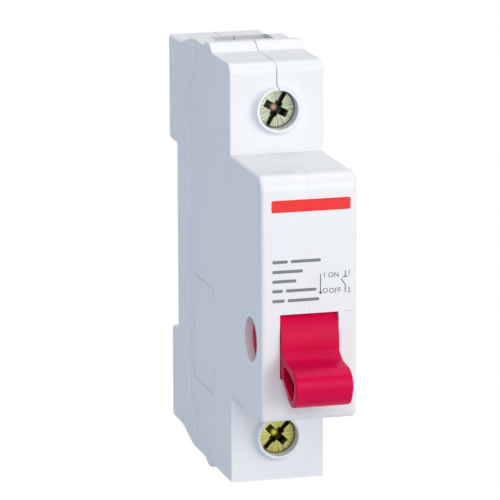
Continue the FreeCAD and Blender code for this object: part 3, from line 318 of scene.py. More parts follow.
def moulded_plain(name, base_colour, roughness, spacing):
    """Moulded glass-filled polyamide from a blasted tool: an even colour with a dull, finely
    grained skin and slight mottling from the fibres."""
    material, tree = new_material(name)
    place = add(tree, "TexCoord", {}, out="Object")
    mottle = add(tree, "TexNoise", {"Vector": place, "Scale": 1 / (3 * MM), "Detail": 3.0})
    shade = tuple(c * 0.88 for c in base_colour)
    base = add(tree, "Mix", {0: mottle, 6: rgba(base_colour), 7: rgba(shade)}, out=2, data_type="RGBA")
    grain = add(tree, "TexNoise", {"Vector": place, "Scale": 1 / spacing, "Detail": 2.0})
    relief = add(tree, "Bump", {"Height": grain, "Strength": 0.4, "Distance": 0.02 * MM}, out="Normal")
    shader = add(
        tree, "BsdfPrincipled", {"Base Color": base, "Roughness": roughness, "IOR": 1.53, "Normal": relief}
    )
    finish_material(tree, shader)
    return material


def rolled_metal(name, base_colour, roughness, stretch):
    """Rolled or drawn metal: fine parallel lines along the strip or wire, which blur its
    reflections across them, and a faint tarnish in soft patches."""
    material, tree = new_material(name)
    place = add(tree, "TexCoord", {}, out="Object")
    along = add(tree, "Mapping", {"Vector": place, "Scale": stretch})
    lines = add(tree, "TexNoise", {"Vector": along, "Scale": 1 / (0.15 * MM), "Detail": 2.0})
    patches = add(tree, "TexNoise", {"Vector": place, "Scale": 1 / (2.5 * MM), "Detail": 2.0})
    dull = tuple(c * 0.72 for c in base_colour)
    amount = add(tree, "MapRange", {"Value": patches, "From Min": 0.4, "From Max": 0.75, "To Max": 0.8})
    base = add(tree, "Mix", {0: amount, 6: rgba(base_colour), 7: rgba(dull)}, out=2, data_type="RGBA")
    relief = add(tree, "Bump", {"Height": lines, "Strength": 0.3, "Distance": 0.01 * MM}, out="Normal")
    rough = add(tree, "MapRange", {"Value": patches, "To Min": roughness * 0.8, "To Max": roughness * 1.25})
    shader = add(
        tree, "BsdfPrincipled", {"Base Color": base, "Metallic": 1.0, "Roughness": rough, "Normal": relief}
    )
    finish_material(tree, shader)
    return material


def passivated_zinc(name, base_colour, gleam, axis_height, head_face):
    """Zinc-plated steel, chromate passivated and headed in a die: an olive-yellow metal with
    fine bright and dark radial lines round the screw's axis, partly its radial grain and partly painted
    reflection, painted shade that turns it almost black towards the foot of its slot and recess,
    and a small painted highlight at the very bottom."""
    shade_start, shade_full = 0.15 * MM, 0.9 * MM
    head_depth, face_radius = 3.5 * MM, 3.3 * MM
    gleam_full, gleam_end = 0.2 * MM, 0.75 * MM
    recess = bpy.context.scene.switch_colours.recess
    material, tree = new_material(name)
    place = add(tree, "TexCoord", {}, out="Object")
    centred = add(tree, "Mapping", {"Vector": place, "Location": (0.0, -head_face, -axis_height)})
    along_x, behind, along_z = [add(tree, "SeparateXYZ", {"Vector": centred}, out=axis) for axis in "XYZ"]
    turn = add(tree, "Math", {0: along_z, 1: along_x}, operation="ARCTAN2")
    spokes = add(
        tree, "TexNoise", {"W": turn, "Scale": 14.0, "Detail": 3.0, "Roughness": 0.8}, noise_dimensions="1D"
    )
    tone = add(tree, "TexNoise", {"Vector": place, "Scale": 1 / (1.6 * MM), "Detail": 3.0})
    # The bright and dark radial lines are partly the head's radial grain and partly painted reflection
    # streaks
    dark = tuple(c * 0.1 for c in base_colour)
    pale = tuple(min(1.0, c * 1.4 + 0.1) for c in base_colour)
    amount = add(tree, "MapRange", {"Value": spokes, "From Min": 0.42, "From Max": 0.58})
    base = add(tree, "Mix", {0: amount, 6: rgba(dark), 7: rgba(pale)}, out=2, data_type="RGBA")
    even = add(
        tree, "MapRange", {"Value": tone, "From Min": 0.3, "From Max": 0.7, "To Min": 0.05, "To Max": 0.5}
    )
    base = add(tree, "Mix", {0: even, 6: base, 7: rgba(base_colour)}, out=2, data_type="RGBA")

    # Painted shade: the slot and recess darken with depth; the shank behind the head stays bright
    deep = add(
        tree, "MapRange", {"Value": behind, "From Min": shade_start, "From Max": shade_full, "To Max": 0.93}
    )
    shank = add(tree, "Math", {0: behind, 1: head_depth}, operation="LESS_THAN")
    deep = add(tree, "Math", {0: deep, 1: shank}, operation="MULTIPLY")
    aside = add(tree, "CombineXYZ", {"X": along_x, "Y": along_z})
    radius = add(tree, "VectorMath", {0: aside}, out="Value", operation="LENGTH")
    within = add(tree, "Math", {0: radius, 1: face_radius}, operation="LESS_THAN")
    deep = add(tree, "Math", {0: deep, 1: within}, operation="MULTIPLY")
    base = add(tree, "Mix", {0: deep, 6: base, 7: rgba(recess)}, out=2, data_type="RGBA")
    # Painted highlight: a small bright spot of the gleam colour at the very foot of the recess
    painted_glint_mask = add(
        tree, "MapRange",
        {"Value": radius, "From Min": gleam_full, "From Max": gleam_end, "To Min": 1.0, "To Max": 0.0}
    )
    painted_glint_mask = add(tree, "Math", {0: painted_glint_mask, 1: deep}, operation="MULTIPLY")
    base = add(tree, "Mix", {0: painted_glint_mask, 6: base, 7: rgba(gleam)}, out=2, data_type="RGBA")

    relief = add(tree, "Bump", {"Height": spokes, "Strength": 0.7, "Distance": 0.08 * MM}, out="Normal")
    rough = add(tree, "MapRange", {"Value": tone, "To Min": 0.28, "To Max": 0.48})
    shader = add(
        tree, "BsdfPrincipled", {"Base Color": base, "Metallic": 1.0, "Roughness": rough, "Normal": relief}
    )
    finish_material(tree, shader)
    return material


def pad_ink(name, base_colour):
    """Pad-printed ink: a thin dull film whose tone thins a little in fine specks."""
    material, tree = new_material(name)
    place = add(tree, "TexCoord", {}, out="Object")
    specks = add(tree, "TexNoise", {"Vector": place, "Scale": 1 / (0.25 * MM), "Detail": 2.0})
    thin = tuple(c + (1.0 - c) * 0.12 for c in base_colour)
    amount = add(tree, "MapRange", {"Value": specks, "From Min": 0.55, "From Max": 0.8})
    base = add(tree, "Mix", {0: amount, 6: rgba(base_colour), 7: rgba(thin)}, out=2, data_type="RGBA")
    shader = add(tree, "BsdfPrincipled", {"Base Color": base, "Roughness": 0.55, "IOR": 1.5})
    finish_material(tree, shader)
    return material


def deselect_all():
    """Leaves nothing selected, so that an operator acts on the new primitive alone."""
    bpy.ops.object.select_all(action="DESELECT")


def activate(piece):
    """Selects the piece alone and makes it the active one."""
    deselect_all()
    piece.select_set(True)
    bpy.context.view_layer.objects.active = piece


def edit(piece):
    """Opens the piece in edit mode, with all of it selected."""
    activate(piece)
    bpy.ops.object.mode_set(mode="EDIT")
    bpy.ops.mesh.select_all(action="SELECT")


def apply_place(piece):
    """Moves the object's place, turn and scale into its mesh."""
    activate(piece)
    bpy.ops.object.transform_apply(location=True, rotation=True, scale=True)


def middle(part):
    """The middle of an edge or face in edit mode."""
    return sum((corner.co for corner in part.verts), Vector()) / len(part.verts)


def choose(piece, kind, test):
    """Selects only the vertices, edges or faces that pass the test, in edit mode."""
    bpy.ops.mesh.select_mode(type=kind)
    bpy.ops.mesh.select_all(action="DESELECT")
    mesh = bmesh.from_edit_mesh(piece.data)
    for part in {"VERT": mesh.verts, "EDGE": mesh.edges, "FACE": mesh.faces}[kind]:
        if test(part):
            part.select_set(True)
    mesh.select_flush_mode()
    bmesh.update_edit_mesh(piece.data)


def is_corner(edge):
    """True where two faces meet at a clear angle."""
    return len(edge.link_faces) == 2 and edge.calc_face_angle() > CORNER


def is_at(part, place):
    """True where all corners of an edge or face lie at this Y."""
    return all(abs(corner.co.y - place) < NEAR for corner in part.verts)


def round_edges(piece, test, offset, segments):
    """Rounds the edges that pass the test."""
    bpy.ops.object.mode_set(mode="EDIT")
    choose(piece, "EDGE", test)
    bpy.ops.mesh.bevel(offset=offset, segments=segments, affect="EDGES")
    bpy.ops.object.mode_set(mode="OBJECT")


def block(centre, size, turn=0.0):
    """A cube of this centre and size, turned about Y, with its place in its mesh."""
    deselect_all()
    bpy.ops.mesh.primitive_cube_add(size=1)
    piece = bpy.context.object
    piece.matrix_world = (
        Matrix.Translation(centre) @ Matrix.Rotation(turn, 4, "Y") @ Matrix.Diagonal((*size, 1))
    )
    apply_place(piece)
    return piece


def rod(centre, radius, length_along, axis, vertices=96):
    """A cylinder about the axis X or Y, with its place in its mesh."""
    deselect_all()
    turn = (0, pi / 2, 0) if axis == "X" else (pi / 2, 0, 0)
    bpy.ops.mesh.primitive_cylinder_add(
        vertices=vertices, radius=radius, depth=length_along, location=centre, rotation=turn
    )
    piece = bpy.context.object
    apply_place(piece)
    return piece


def combine(piece, other, operation):
    """Cuts the other solid out of the piece, or joins it on, and removes it."""
    activate(piece)
    bpy.ops.object.modifier_add(type="BOOLEAN")
    modifier = piece.modifiers[-1]
    modifier.operation = operation
    modifier.solver = "EXACT"
    modifier.object = other
    bpy.ops.object.modifier_apply(modifier=modifier.name)
    bpy.data.objects.remove(other)


def face_outwards(piece):
    """Turns every face of a closed piece outwards."""
    edit(piece)
    bpy.ops.mesh.normals_make_consistent(inside=False)
    bpy.ops.object.mode_set(mode="OBJECT")


def split_faces(piece):
    """Splits every face into triangles."""
    edit(piece)
    bpy.ops.mesh.quads_convert_to_tris(quad_method="BEAUTY", ngon_method="BEAUTY")
    bpy.ops.object.mode_set(mode="OBJECT")


def smooth(piece):
    """Smooth shading on its curves, with flat faces kept flat."""
    activate(piece)
    bpy.ops.object.shade_smooth_by_angle(angle=CORNER)
    bpy.ops.object.modifier_add(type="WEIGHTED_NORMAL")
    modifier = piece.modifiers[-1]
    modifier.keep_sharp = True
    bpy.ops.object.modifier_apply(modifier=modifier.name)


def finish_piece(piece, name, material, node, body):
    """Names the finished piece, gives it its material and puts it in its node's place."""
    smooth(piece)
    piece.name = name
    piece.data.name = name
    piece.data.materials.clear()
    piece.data.materials.append(material)
    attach(piece, body)
    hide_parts(node)


def raise_film(piece, film):
    """Raises the flat piece into a closed film, from just under the nose's face to its own thickness."""
    apply_place(piece)
    edit(piece)
    bpy.ops.mesh.extrude_region_move(TRANSFORM_OT_translate={"value": (0, -2 * film, 0)})
    bpy.ops.mesh.select_all(action="SELECT")
    bpy.ops.mesh.normals_make_consistent(inside=False)
    bpy.ops.object.mode_set(mode="OBJECT")


def printed_bar(start, end, width, film, corner):
    """A straight printed bar on the nose, from start to end (X, Z), with rounded corners."""
    start = Vector(start)
    end = Vector(end)
    run = end - start
    centre = (start + end) / 2
    slope = Vector((1, 0)).angle_signed(run)
    deselect_all()
    bpy.ops.mesh.primitive_plane_add(size=1)
    bar = bpy.context.object
    bar.matrix_world = (
        Matrix.Translation((centre.x, NOSE_FRONT + film, centre.y))
        @ Matrix.Rotation(slope, 4, "Y")
        @ Matrix.Rotation(pi / 2, 4, "X")
        @ Matrix.Diagonal((run.length, width, 1, 1))
    )
    apply_place(bar)
    edit(bar)
    bpy.ops.mesh.bevel(offset=corner, segments=4, affect="VERTICES")
    bpy.ops.object.mode_set(mode="OBJECT")
    raise_film(bar, film)
    return bar


def printed_ring(centre, radius, width, film):
    """A printed ring on the nose."""
    deselect_all()
    bpy.ops.mesh.primitive_circle_add(
        vertices=32, radius=radius, fill_type="NOTHING",
        location=(centre[0], NOSE_FRONT + film, centre[1]), rotation=(pi / 2, 0, 0)
    )
    ring = bpy.context.object
    edit(ring)
    bpy.ops.mesh.extrude_region_move()
    inner = 1 - width / radius
    bpy.ops.transform.resize(value=(inner, inner, inner))
    bpy.ops.object.mode_set(mode="OBJECT")
    raise_film(ring, film)
    return ring


def printed_dot(centre, radius, film):
    """A printed dot on the nose."""
    deselect_all()
    bpy.ops.mesh.primitive_circle_add(
        vertices=20, radius=radius, fill_type="NGON",
        location=(centre[0], NOSE_FRONT + film, centre[1]), rotation=(pi / 2, 0, 0)
    )
    dot = bpy.context.object
    raise_film(dot, film)
    return dot


def printed_word(word, place, size, film):
    """A generic word or figure on the nose, from its left end at the foot of the letters."""
    deselect_all()
    bpy.ops.object.text_add(location=(place[0], NOSE_FRONT, place[1]), rotation=(pi / 2, 0, 0))
    text = bpy.context.object
    text.data.body = word
    text.data.size = size
    text.data.extrude = film
    text.data.resolution_u = 4
    bpy.ops.object.convert(target="MESH")
    piece = bpy.context.object
    apply_place(piece)
    return piece


def joined(name, parts, material):
    """Joins the printed parts to one piece of the housing."""
    deselect_all()
    for part in parts:
        part.select_set(True)
    bpy.context.view_layer.objects.active = parts[0]
    if len(parts) > 1:
        bpy.ops.object.join()
    piece = bpy.context.object
    piece.name = name
    piece.data.name = name
    piece.data.materials.clear()
    piece.data.materials.append(material)
    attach(piece, "housing")
    return piece


class SWITCH_OT_housing(bpy.types.Operator):
    """Makes both shells, with their terminal collars trimmed to their true form"""

    bl_idname = "rail_switch.housing"
    bl_label = "Housing shells"

    # How far the trimming ring reaches past the collar, outwards and ahead, and how far it
    # stays off the shoulder's face
    REACH = 2.4 * MM
    AHEAD = 0.6 * MM
    OFF_FACE = 0.004 * MM

    # The lining stays inside the collar's rim, and runs on past the head's face
    LINING_INSET = 0.15 * MM
    LINING_PAST = 1.0 * MM
    LINING_EDGE = 0.12 * MM
    LINING_BLOCK = 12.0 * MM

    # Steps of the ring round the axis, and how close corners are merged
    RING_STEPS = 96
    MERGE_COPY = 0.0001 * MM
    MERGE_RING = 0.001 * MM

    def execute(self, context):
        for side, marks in (("left", SINK_MARKS), ("right", ())):
            shell = self.merged_copy(f"{side}_shell")
            for height in (TERMINAL_HEIGHT, -TERMINAL_HEIGHT):
                combine(shell, self.trimming_ring(height), "DIFFERENCE")
                combine(shell, self.hole_lining(height, side), "UNION")
            material = moulded_housing(f"moulded_polyamide_{side}", marks)
            finish_piece(shell, f"housing_{side}", material, f"{side}_shell", "housing")
        return {"FINISHED"}

    def merged_copy(self, node):
        """The shell's mesh with its corners merged, as a new object."""
        shell = bpy.data.objects.new(f"{node}_copy", NODES[node].data.copy())
        bpy.context.scene.collection.objects.link(shell)
        activate(shell)
        bpy.ops.mesh.customdata_custom_splitnormals_clear()
        edit(shell)
        bpy.ops.mesh.remove_doubles(threshold=self.MERGE_COPY)
        bpy.ops.object.mode_set(mode="OBJECT")
        return shell

    def hole_lining(self, height, side):
        """The shell's half of the wall that narrows the screw hole."""
        sizes = bpy.context.scene.switch_sizes
        inner = sizes.hole_radius
        front = COLLAR_FRONT + self.OFF_FACE
        back = COLLAR_FRONT + sizes.head_below + self.LINING_PAST
        wall = sizes.collar_rim - inner - self.LINING_INSET
        lining = self.spun_ring(height, inner, wall, front, back, front, self.LINING_EDGE)
        reach = self.LINING_BLOCK
        half = reach / 2 + self.OFF_FACE
        half = -half if side == "left" else half
        combine(lining, block((half, COLLAR_FRONT, height), (reach, reach, reach)), "INTERSECT")
        return lining

    def trimming_ring(self, height):
        """A ring round the terminal's axis: its inner corner at the shoulder is rounded."""
        sizes = bpy.context.scene.switch_sizes
        foot = SHOULDER - self.OFF_FACE
        front = COLLAR_FRONT - self.AHEAD
        return self.spun_ring(height, sizes.collar_rim, self.REACH, front, foot, foot, sizes.collar_foot)

    def spun_ring(self, height, radius, reach, front, back, rounded, offset):
        """A ring of rectangular section about the terminal's axis, with its inner corner at the
        rounded end rounded off."""
        near = height + radius
        deselect_all()
        bpy.ops.mesh.primitive_plane_add(size=1)
        ring = bpy.context.object
        ring.matrix_world = (
            Matrix.Translation((0, (front + back) / 2, near + reach / 2))
            @ Matrix.Rotation(pi / 2, 4, "Y")
            @ Matrix.Diagonal((reach, back - front, 1, 1))
        )
        apply_place(ring)
        bpy.ops.object.mode_set(mode="EDIT")
        corner = Vector((0, rounded, near))
        choose(ring, "VERT", lambda vertex: (vertex.co - corner).length < NEAR)
        bpy.ops.mesh.bevel(offset=offset, segments=10, affect="VERTICES")
        bpy.ops.mesh.select_all(action="SELECT")
        bpy.ops.mesh.delete(type="ONLY_FACE")
        bpy.ops.mesh.select_all(action="SELECT")
        bpy.ops.mesh.spin(steps=self.RING_STEPS, angle=2 * pi, center=(0, 0, height), axis=(0, 1, 0))
        bpy.ops.mesh.select_all(action="SELECT")
        bpy.ops.mesh.remove_doubles(threshold=self.MERGE_RING)
        bpy.ops.mesh.normals_make_consistent(inside=False)
        # Half a step round, so that no corner lies on the shells' joint
        bpy.ops.transform.rotate(value=pi / self.RING_STEPS, orient_axis="Y", center_override=(0, 0, height))
        bpy.ops.object.mode_set(mode="OBJECT")
        return ring


class SWITCH_OT_handle(bpy.types.Operator):
    """Makes the crimson toggle: drum, trunnions and slotted lever in one moulding"""

    bl_idname = "rail_switch.handle"
    bl_label = "Handle"

    # Along the lever from its axis
    ROOT = 4.175 * MM
    NECK = 10.4 * MM
    GRIP = 14.6 * MM
    TIP = 18.4 * MM
    TIP_ROUND = 2.9 * MM
    BENDS = ((NECK, 0.64 * MM), (GRIP, 0.36 * MM))

    # Tie-bar slot: rear end, middle and front end, with half its height there, and the cutter's
    # reach past both sides of the lever
    SLOT = ((9.8 * MM, 1.2 * MM), (13.4 * MM, 1.8 * MM), (17.0 * MM, 1.9 * MM))
    SLOT_ROUND = 0.9 * MM
    SLOT_PAST = 2.0 * MM

    # How near an edge lies to the slot's rim, or to the lever's side, to count as on it
    RIM_MARGIN = 0.1 * MM
    AT_SIDE = 0.001 * MM

    # Middle, radius and length along X
    TRUNNIONS = ((0, 0, 0), 4.0 * MM, 14.6 * MM)
    CRANK_HOLE = ((1.2 * MM, 0, 6.0 * MM), 0.95 * MM, 9.6 * MM)
    SPRING_HOLE = ((-4.65 * MM, 6.37 * MM, 1.64 * MM), 0.375 * MM, 4.0 * MM)

    def execute(self, context):
        sizes = context.scene.switch_sizes
        width = sizes.lever_width
        profile = (
            (self.ROOT, sizes.lever_root), (self.NECK, sizes.lever_neck),
            (self.GRIP, sizes.lever_grip), (self.TIP, sizes.lever_grip),
        )
        lever = self.tapered_bar(profile, width)
        self.round_across(lever, self.TIP, self.TIP_ROUND)
        for place, offset in self.BENDS:
            self.round_across(lever, place, offset)
        slot = self.tapered_bar(self.SLOT, width + 2 * self.SLOT_PAST)
        self.round_across(slot, self.SLOT[0][0], self.SLOT_ROUND)
        self.round_across(slot, self.SLOT[-1][0], self.SLOT_ROUND)
        face_outwards(slot)
        face_outwards(lever)
        combine(lever, slot, "DIFFERENCE")
        split_faces(lever)
        self.round_sides(lever, width / 2, sizes.lever_edge)
        combine(lever, rod((0, 0, 0), sizes.drum_radius, sizes.drum_width, "X", 160), "UNION")
        combine(lever, rod(*self.TRUNNIONS, "X"), "UNION")
        combine(lever, rod(*self.CRANK_HOLE, "X", 32), "DIFFERENCE")
        combine(lever, rod(*self.SPRING_HOLE, "X", 24), "DIFFERENCE")
        face_outwards(lever)
        lever.matrix_world = Matrix.Translation(PIVOT) @ Matrix.Rotation(OFF_TURN, 4, "X")
        apply_place(lever)
        material = moulded_crimson("moulded_crimson_polyamide")
        finish_piece(lever, "toggle", material, "handle", "handle")
        return {"FINISHED"}

    def tapered_bar(self, profile, width):
        """A bar along -Y through the (distance, half thickness) places of its profile."""
        (start, start_half), (end, end_half) = profile[:2]
        bar = block((0, -(start + end) / 2, 0), (width, end - start, 2 * end_half))
        bpy.ops.object.mode_set(mode="EDIT")
        self.choose_end(bar, start)
        self.thicken(start, start_half / end_half)
        for (start, start_half), (end, end_half) in zip(profile[1:], profile[2:]):
            self.choose_end(bar, start)
            bpy.ops.mesh.extrude_region_move(TRANSFORM_OT_translate={"value": (0, start - end, 0)})
            self.thicken(end, end_half / start_half)
        bpy.ops.object.mode_set(mode="OBJECT")
        return bar

    def choose_end(self, bar, place):
        """Selects the face across the bar at this distance."""
        choose(bar, "FACE", lambda face: is_at(face, -place))

    def thicken(self, place, factor):
        """Scales the selected end along Z."""
        bpy.ops.transform.resize(value=(1, 1, factor), center_override=(0, -place, 0))

    def round_across(self, bar, place, offset):
        """Rounds the two edges along X at this distance."""
        round_edges(
            bar, lambda edge: is_at(edge, -place) and abs(edge.verts[0].co.x - edge.verts[1].co.x) > NEAR,
            offset, 8
        )

    def on_slot(self, place):
        """True on the slot's rim."""
        margin = self.RIM_MARGIN
        (start, _), _, (end, half) = self.SLOT
        return start - margin < -place.y < end + margin and abs(place.z) < half + margin

    def round_sides(self, bar, half, radius):
        """Rounds the outline on both sides."""
        round_edges(
            bar,
            lambda edge: all(abs(abs(corner.co.x) - half) < self.AT_SIDE for corner in edge.verts)
            and is_corner(edge) and not self.on_slot(middle(edge)),
            radius, 3
        )


class SWITCH_OT_inner_mouldings(bpy.types.Operator):
    """Gives the contact carrier and the rail clip their surfaces"""

    bl_idname = "rail_switch.inner_mouldings"
    bl_label = "Carrier and clip surfaces"

    def execute(self, context):
        colours = context.scene.switch_colours
        give(moulded_plain("glass_filled_polyamide", colours.carrier, 0.62, 0.25 * MM), "contact_carrier")
        give(moulded_plain("moulded_acetal", colours.clip, 0.45, 0.3 * MM), "rail_clip")
        return {"FINISHED"}


class SWITCH_OT_terminal_screws(bpy.types.Operator):
    """Makes the two terminal screws: slotted and cross-recessed heads on M5 shanks"""

    bl_idname = "rail_switch.terminal_screws"
    bl_label = "Terminal screws"

    HEAD_EDGE = 0.25 * MM
    SHANK_EDGE = 0.4 * MM
    SHANK_OVERLAP = 0.5 * MM

    # Turn of the upper and the lower screw's slot, up from X
    SLOT_TURNS = (radians(61.0), radians(46.0))

    # Slot: the cutter's length, width, depth
    SLOT = (10.0 * MM, 0.85 * MM, 1.2 * MM)

    # Cross recess: reach along the slot, reach square to it, width, depth, then the share of its
    # length and width that is left at the foot, and how far the cutter starts ahead of the face
    CROSS = (1.6 * MM, 2.6 * MM, 1.5 * MM, 1.7 * MM)
    CROSS_FOOT = (0.6, 1.0, 0.75)
    CROSS_AHEAD = 0.5 * MM

    def execute(self, context):
        colours = context.scene.switch_colours
        upper, lower = self.SLOT_TURNS
        self.make_screw("upper", TERMINAL_HEIGHT, upper, colours.upper_zinc, colours.upper_painted_glint)
        self.make_screw("lower", -TERMINAL_HEIGHT, lower, colours.lower_zinc, colours.lower_painted_glint)
        return {"FINISHED"}

    def make_screw(self, name, height, turn, zinc, gleam):
        """Makes one screw about its terminal's axis, with its slot turned up from X."""
        sizes = bpy.context.scene.switch_sizes
        face = COLLAR_FRONT + sizes.head_below
        back = -sizes.head_back
        screw = rod((0, (face + back) / 2, height), sizes.head_radius, back - face, "Y")
        self.round_rim(screw, face, self.HEAD_EDGE)
        end = -sizes.shank_end
        overlap = self.SHANK_OVERLAP
        shank = rod((0, (back - overlap + end) / 2, height), sizes.shank_radius, end - back + overlap, "Y")
        self.round_rim(shank, end, self.SHANK_EDGE)
        combine(screw, shank, "UNION")
        slot_length, slot_width, slot_depth = self.SLOT
        slot = block((0, face, height), (slot_length, 2 * slot_depth, slot_width), -turn)
        combine(screw, slot, "DIFFERENCE")
        short, long, width, depth = self.CROSS
        for reach, arm_turn in ((short, -turn), (long, pi / 2 - turn)):
            arm = self.tapered_arm(reach, width, depth)
            arm.matrix_world = Matrix.Translation((0, face, height)) @ Matrix.Rotation(arm_turn, 4, "Y")
            apply_place(arm)
            combine(screw, arm, "DIFFERENCE")
        material = passivated_zinc(f"passivated_zinc_{name}", zinc, gleam, height, face)
        finish_piece(
            screw, f"screw_{name}", material, f"{name}_terminal_screw", f"{name}_screw"
        )

    def tapered_arm(self, reach, width, depth):
        """An arm of the recess, from just ahead of the face, narrower at its foot."""
        ahead = self.CROSS_AHEAD
        arm = block((0, (depth - ahead) / 2, 0), (2 * reach, depth + ahead, width))
        bpy.ops.object.mode_set(mode="EDIT")
        choose(arm, "FACE", lambda face: middle(face).y > depth - NEAR)
        bpy.ops.transform.resize(value=self.CROSS_FOOT, center_override=(0, depth, 0))
        bpy.ops.object.mode_set(mode="OBJECT")
        return arm

    def round_rim(self, piece, place, radius):
        """Rounds the rim of the rod at this place."""
        round_edges(piece, lambda edge: is_at(edge, place) and is_corner(edge), radius, 3)


class SWITCH_OT_metal_parts(bpy.types.Operator):
    """Gives the contacts, cages, springs and case screws their metals"""

    bl_idname = "rail_switch.metal_parts"
    bl_label = "Inner metal surfaces"

    # Material, its colour, its roughness, the stretch of its lines, the nodes that wear it
    METALS = (
        ("rolled_copper", "copper", 0.32, (1.0, 1.0, 0.05),
         ("upper_fixed_contact", "lower_fixed_contact", "contact_bridge")),
        ("silver_alloy", "silver", 0.3, (1.0, 1.0, 1.0),
         ("upper_fixed_tip", "lower_fixed_tip", "upper_moving_tip", "lower_moving_tip")),
        ("zinc_plated_strip", "cage", 0.36, (1.0, 0.05, 1.0),
         ("upper_clamp_cage", "lower_clamp_cage")),
        ("drawn_spring_wire", "spring", 0.3, (1.0, 0.3, 0.3),
         ("handle_spring", "contact_spring", "clip_spring", "link")),
        ("zinc_plated_screw", "case_screw", 0.3, (1.0, 1.0, 1.0),
         ("case_screw_1", "case_screw_2", "case_screw_3", "case_screw_4")),
    )

    def execute(self, context):
        for name, metal, roughness, stretch, nodes in self.METALS:
            base_colour = getattr(context.scene.switch_colours, metal)
            give(rolled_metal(name, base_colour, roughness, stretch), *nodes)
        return {"FINISHED"}


class SWITCH_OT_red_band(bpy.types.Operator):
    """Prints the plain red band near the top of the nose"""

    bl_idname = "rail_switch.red_band"
    bl_label = "Red band"

    CENTRE = 0.3 * MM
    ROUND = 0.3 * MM

    def execute(self, context):
        sizes = context.scene.switch_sizes
        half = sizes.band_width / 2
        centre = self.CENTRE
        height = sizes.band_place
        band = printed_bar(
            (centre - half, height), (centre + half, height),
            sizes.band_height, sizes.ink_film, self.ROUND
        )
        joined("print_red_band", [band], pad_ink("pad_ink_red", context.scene.switch_colours.red_ink))
        return {"FINISHED"}


class SWITCH_OT_data_bars(bpy.types.Operator):
    """Prints the grey bars that stand for the lines of data"""

    bl_idname = "rail_switch.data_bars"
    bl_label = "Data bars"

    # Height of each line, and the start and end of its bars, in millimetres
    LINES = (
        (7.05, ((-6.84, -4.0), (-3.45, 2.1))),
        (5.25, ((-6.84, -1.2),)),
        (3.5, ((-6.84, -2.45),)),
        (1.75, ((-6.84, -4.95), (-4.35, 1.3))),
        (-0.05, ((-6.84, -4.6), (-4.0, 1.8))),
    )

    def execute(self, context):
        sizes = context.scene.switch_sizes
        bars = []
        for height, spans in self.LINES:
            for start, end in spans:
                bars.append(printed_bar(
                    (start * MM, height * MM), (end * MM, height * MM),
                    sizes.bar_height, sizes.ink_film, sizes.bar_height * 0.3
                ))
        joined("print_data_bars", bars, pad_ink("pad_ink_pale_grey", context.scene.switch_colours.pale_ink))
        return {"FINISHED"}


class SWITCH_OT_diagram(bpy.types.Operator):
    """Prints the position marks and the plain switch symbol"""

    bl_idname = "rail_switch.diagram"
    bl_label = "Switch diagram"

    def execute(self, context):
        sizes = context.scene.switch_sizes
        film = sizes.ink_film
        width = sizes.line_width
        lines = (
            ((2.05, 1.15), (2.05, 4.5)),
            ((6.66, 3.75), (6.66, 4.8)),
            ((6.2, 3.72), (7.1, 3.72)),
            ((5.85, 3.4), (6.66, 2.25)),
            ((6.66, 0.9), (6.66, 2.3)),
        )
        parts = []
        for start, end in lines:
            start, end = [tuple(c * MM for c in point) for point in (start, end)]
            parts.append(printed_bar(start, end, width, film, width * 0.3))
        parts.append(printed_dot((2.05 * MM, 1.05 * MM), 0.26 * MM, film))
        parts.append(printed_ring((6.66 * MM, 3.4 * MM), 0.32 * MM, 0.14 * MM, film))
        words = (
            ("I", 2.6, 3.78), ("ON", 3.45, 3.74), ("O", 2.42, 0.98),
            ("OFF", 3.6, 0.88), ("1", 7.05, 4.0), ("2", 7.05, 0.8),
        )
        for word, along, foot in words:
            parts.append(printed_word(word, (along * MM, foot * MM), sizes.letter_size, film))
        material = pad_ink("pad_ink_dark_grey", context.scene.switch_colours.grey_ink)
        joined("print_switch_diagram", parts, material)
        return {"FINISHED"}


class SWITCH_OT_nose_groove(bpy.types.Operator):
    """Marks the faint moulding line from the window's corner to the nose's right edge"""

    bl_idname = "rail_switch.nose_groove"
    bl_label = "Nose line"

    START = (6.3 * MM, -2.55 * MM)
    END = (8.2 * MM, -2.55 * MM)
    WIDTH = 0.1 * MM
    ROUND = 0.03 * MM

    def execute(self, context):
        film = context.scene.switch_sizes.ink_film / 2
        line = printed_bar(self.START, self.END, self.WIDTH, film, self.ROUND)
        line_colour = context.scene.switch_colours.nose_line
        material = moulded_plain("moulded_polyamide_line", line_colour, 0.6, 0.25 * MM)
        joined("nose_line", [line], material)
        return {"FINISHED"}


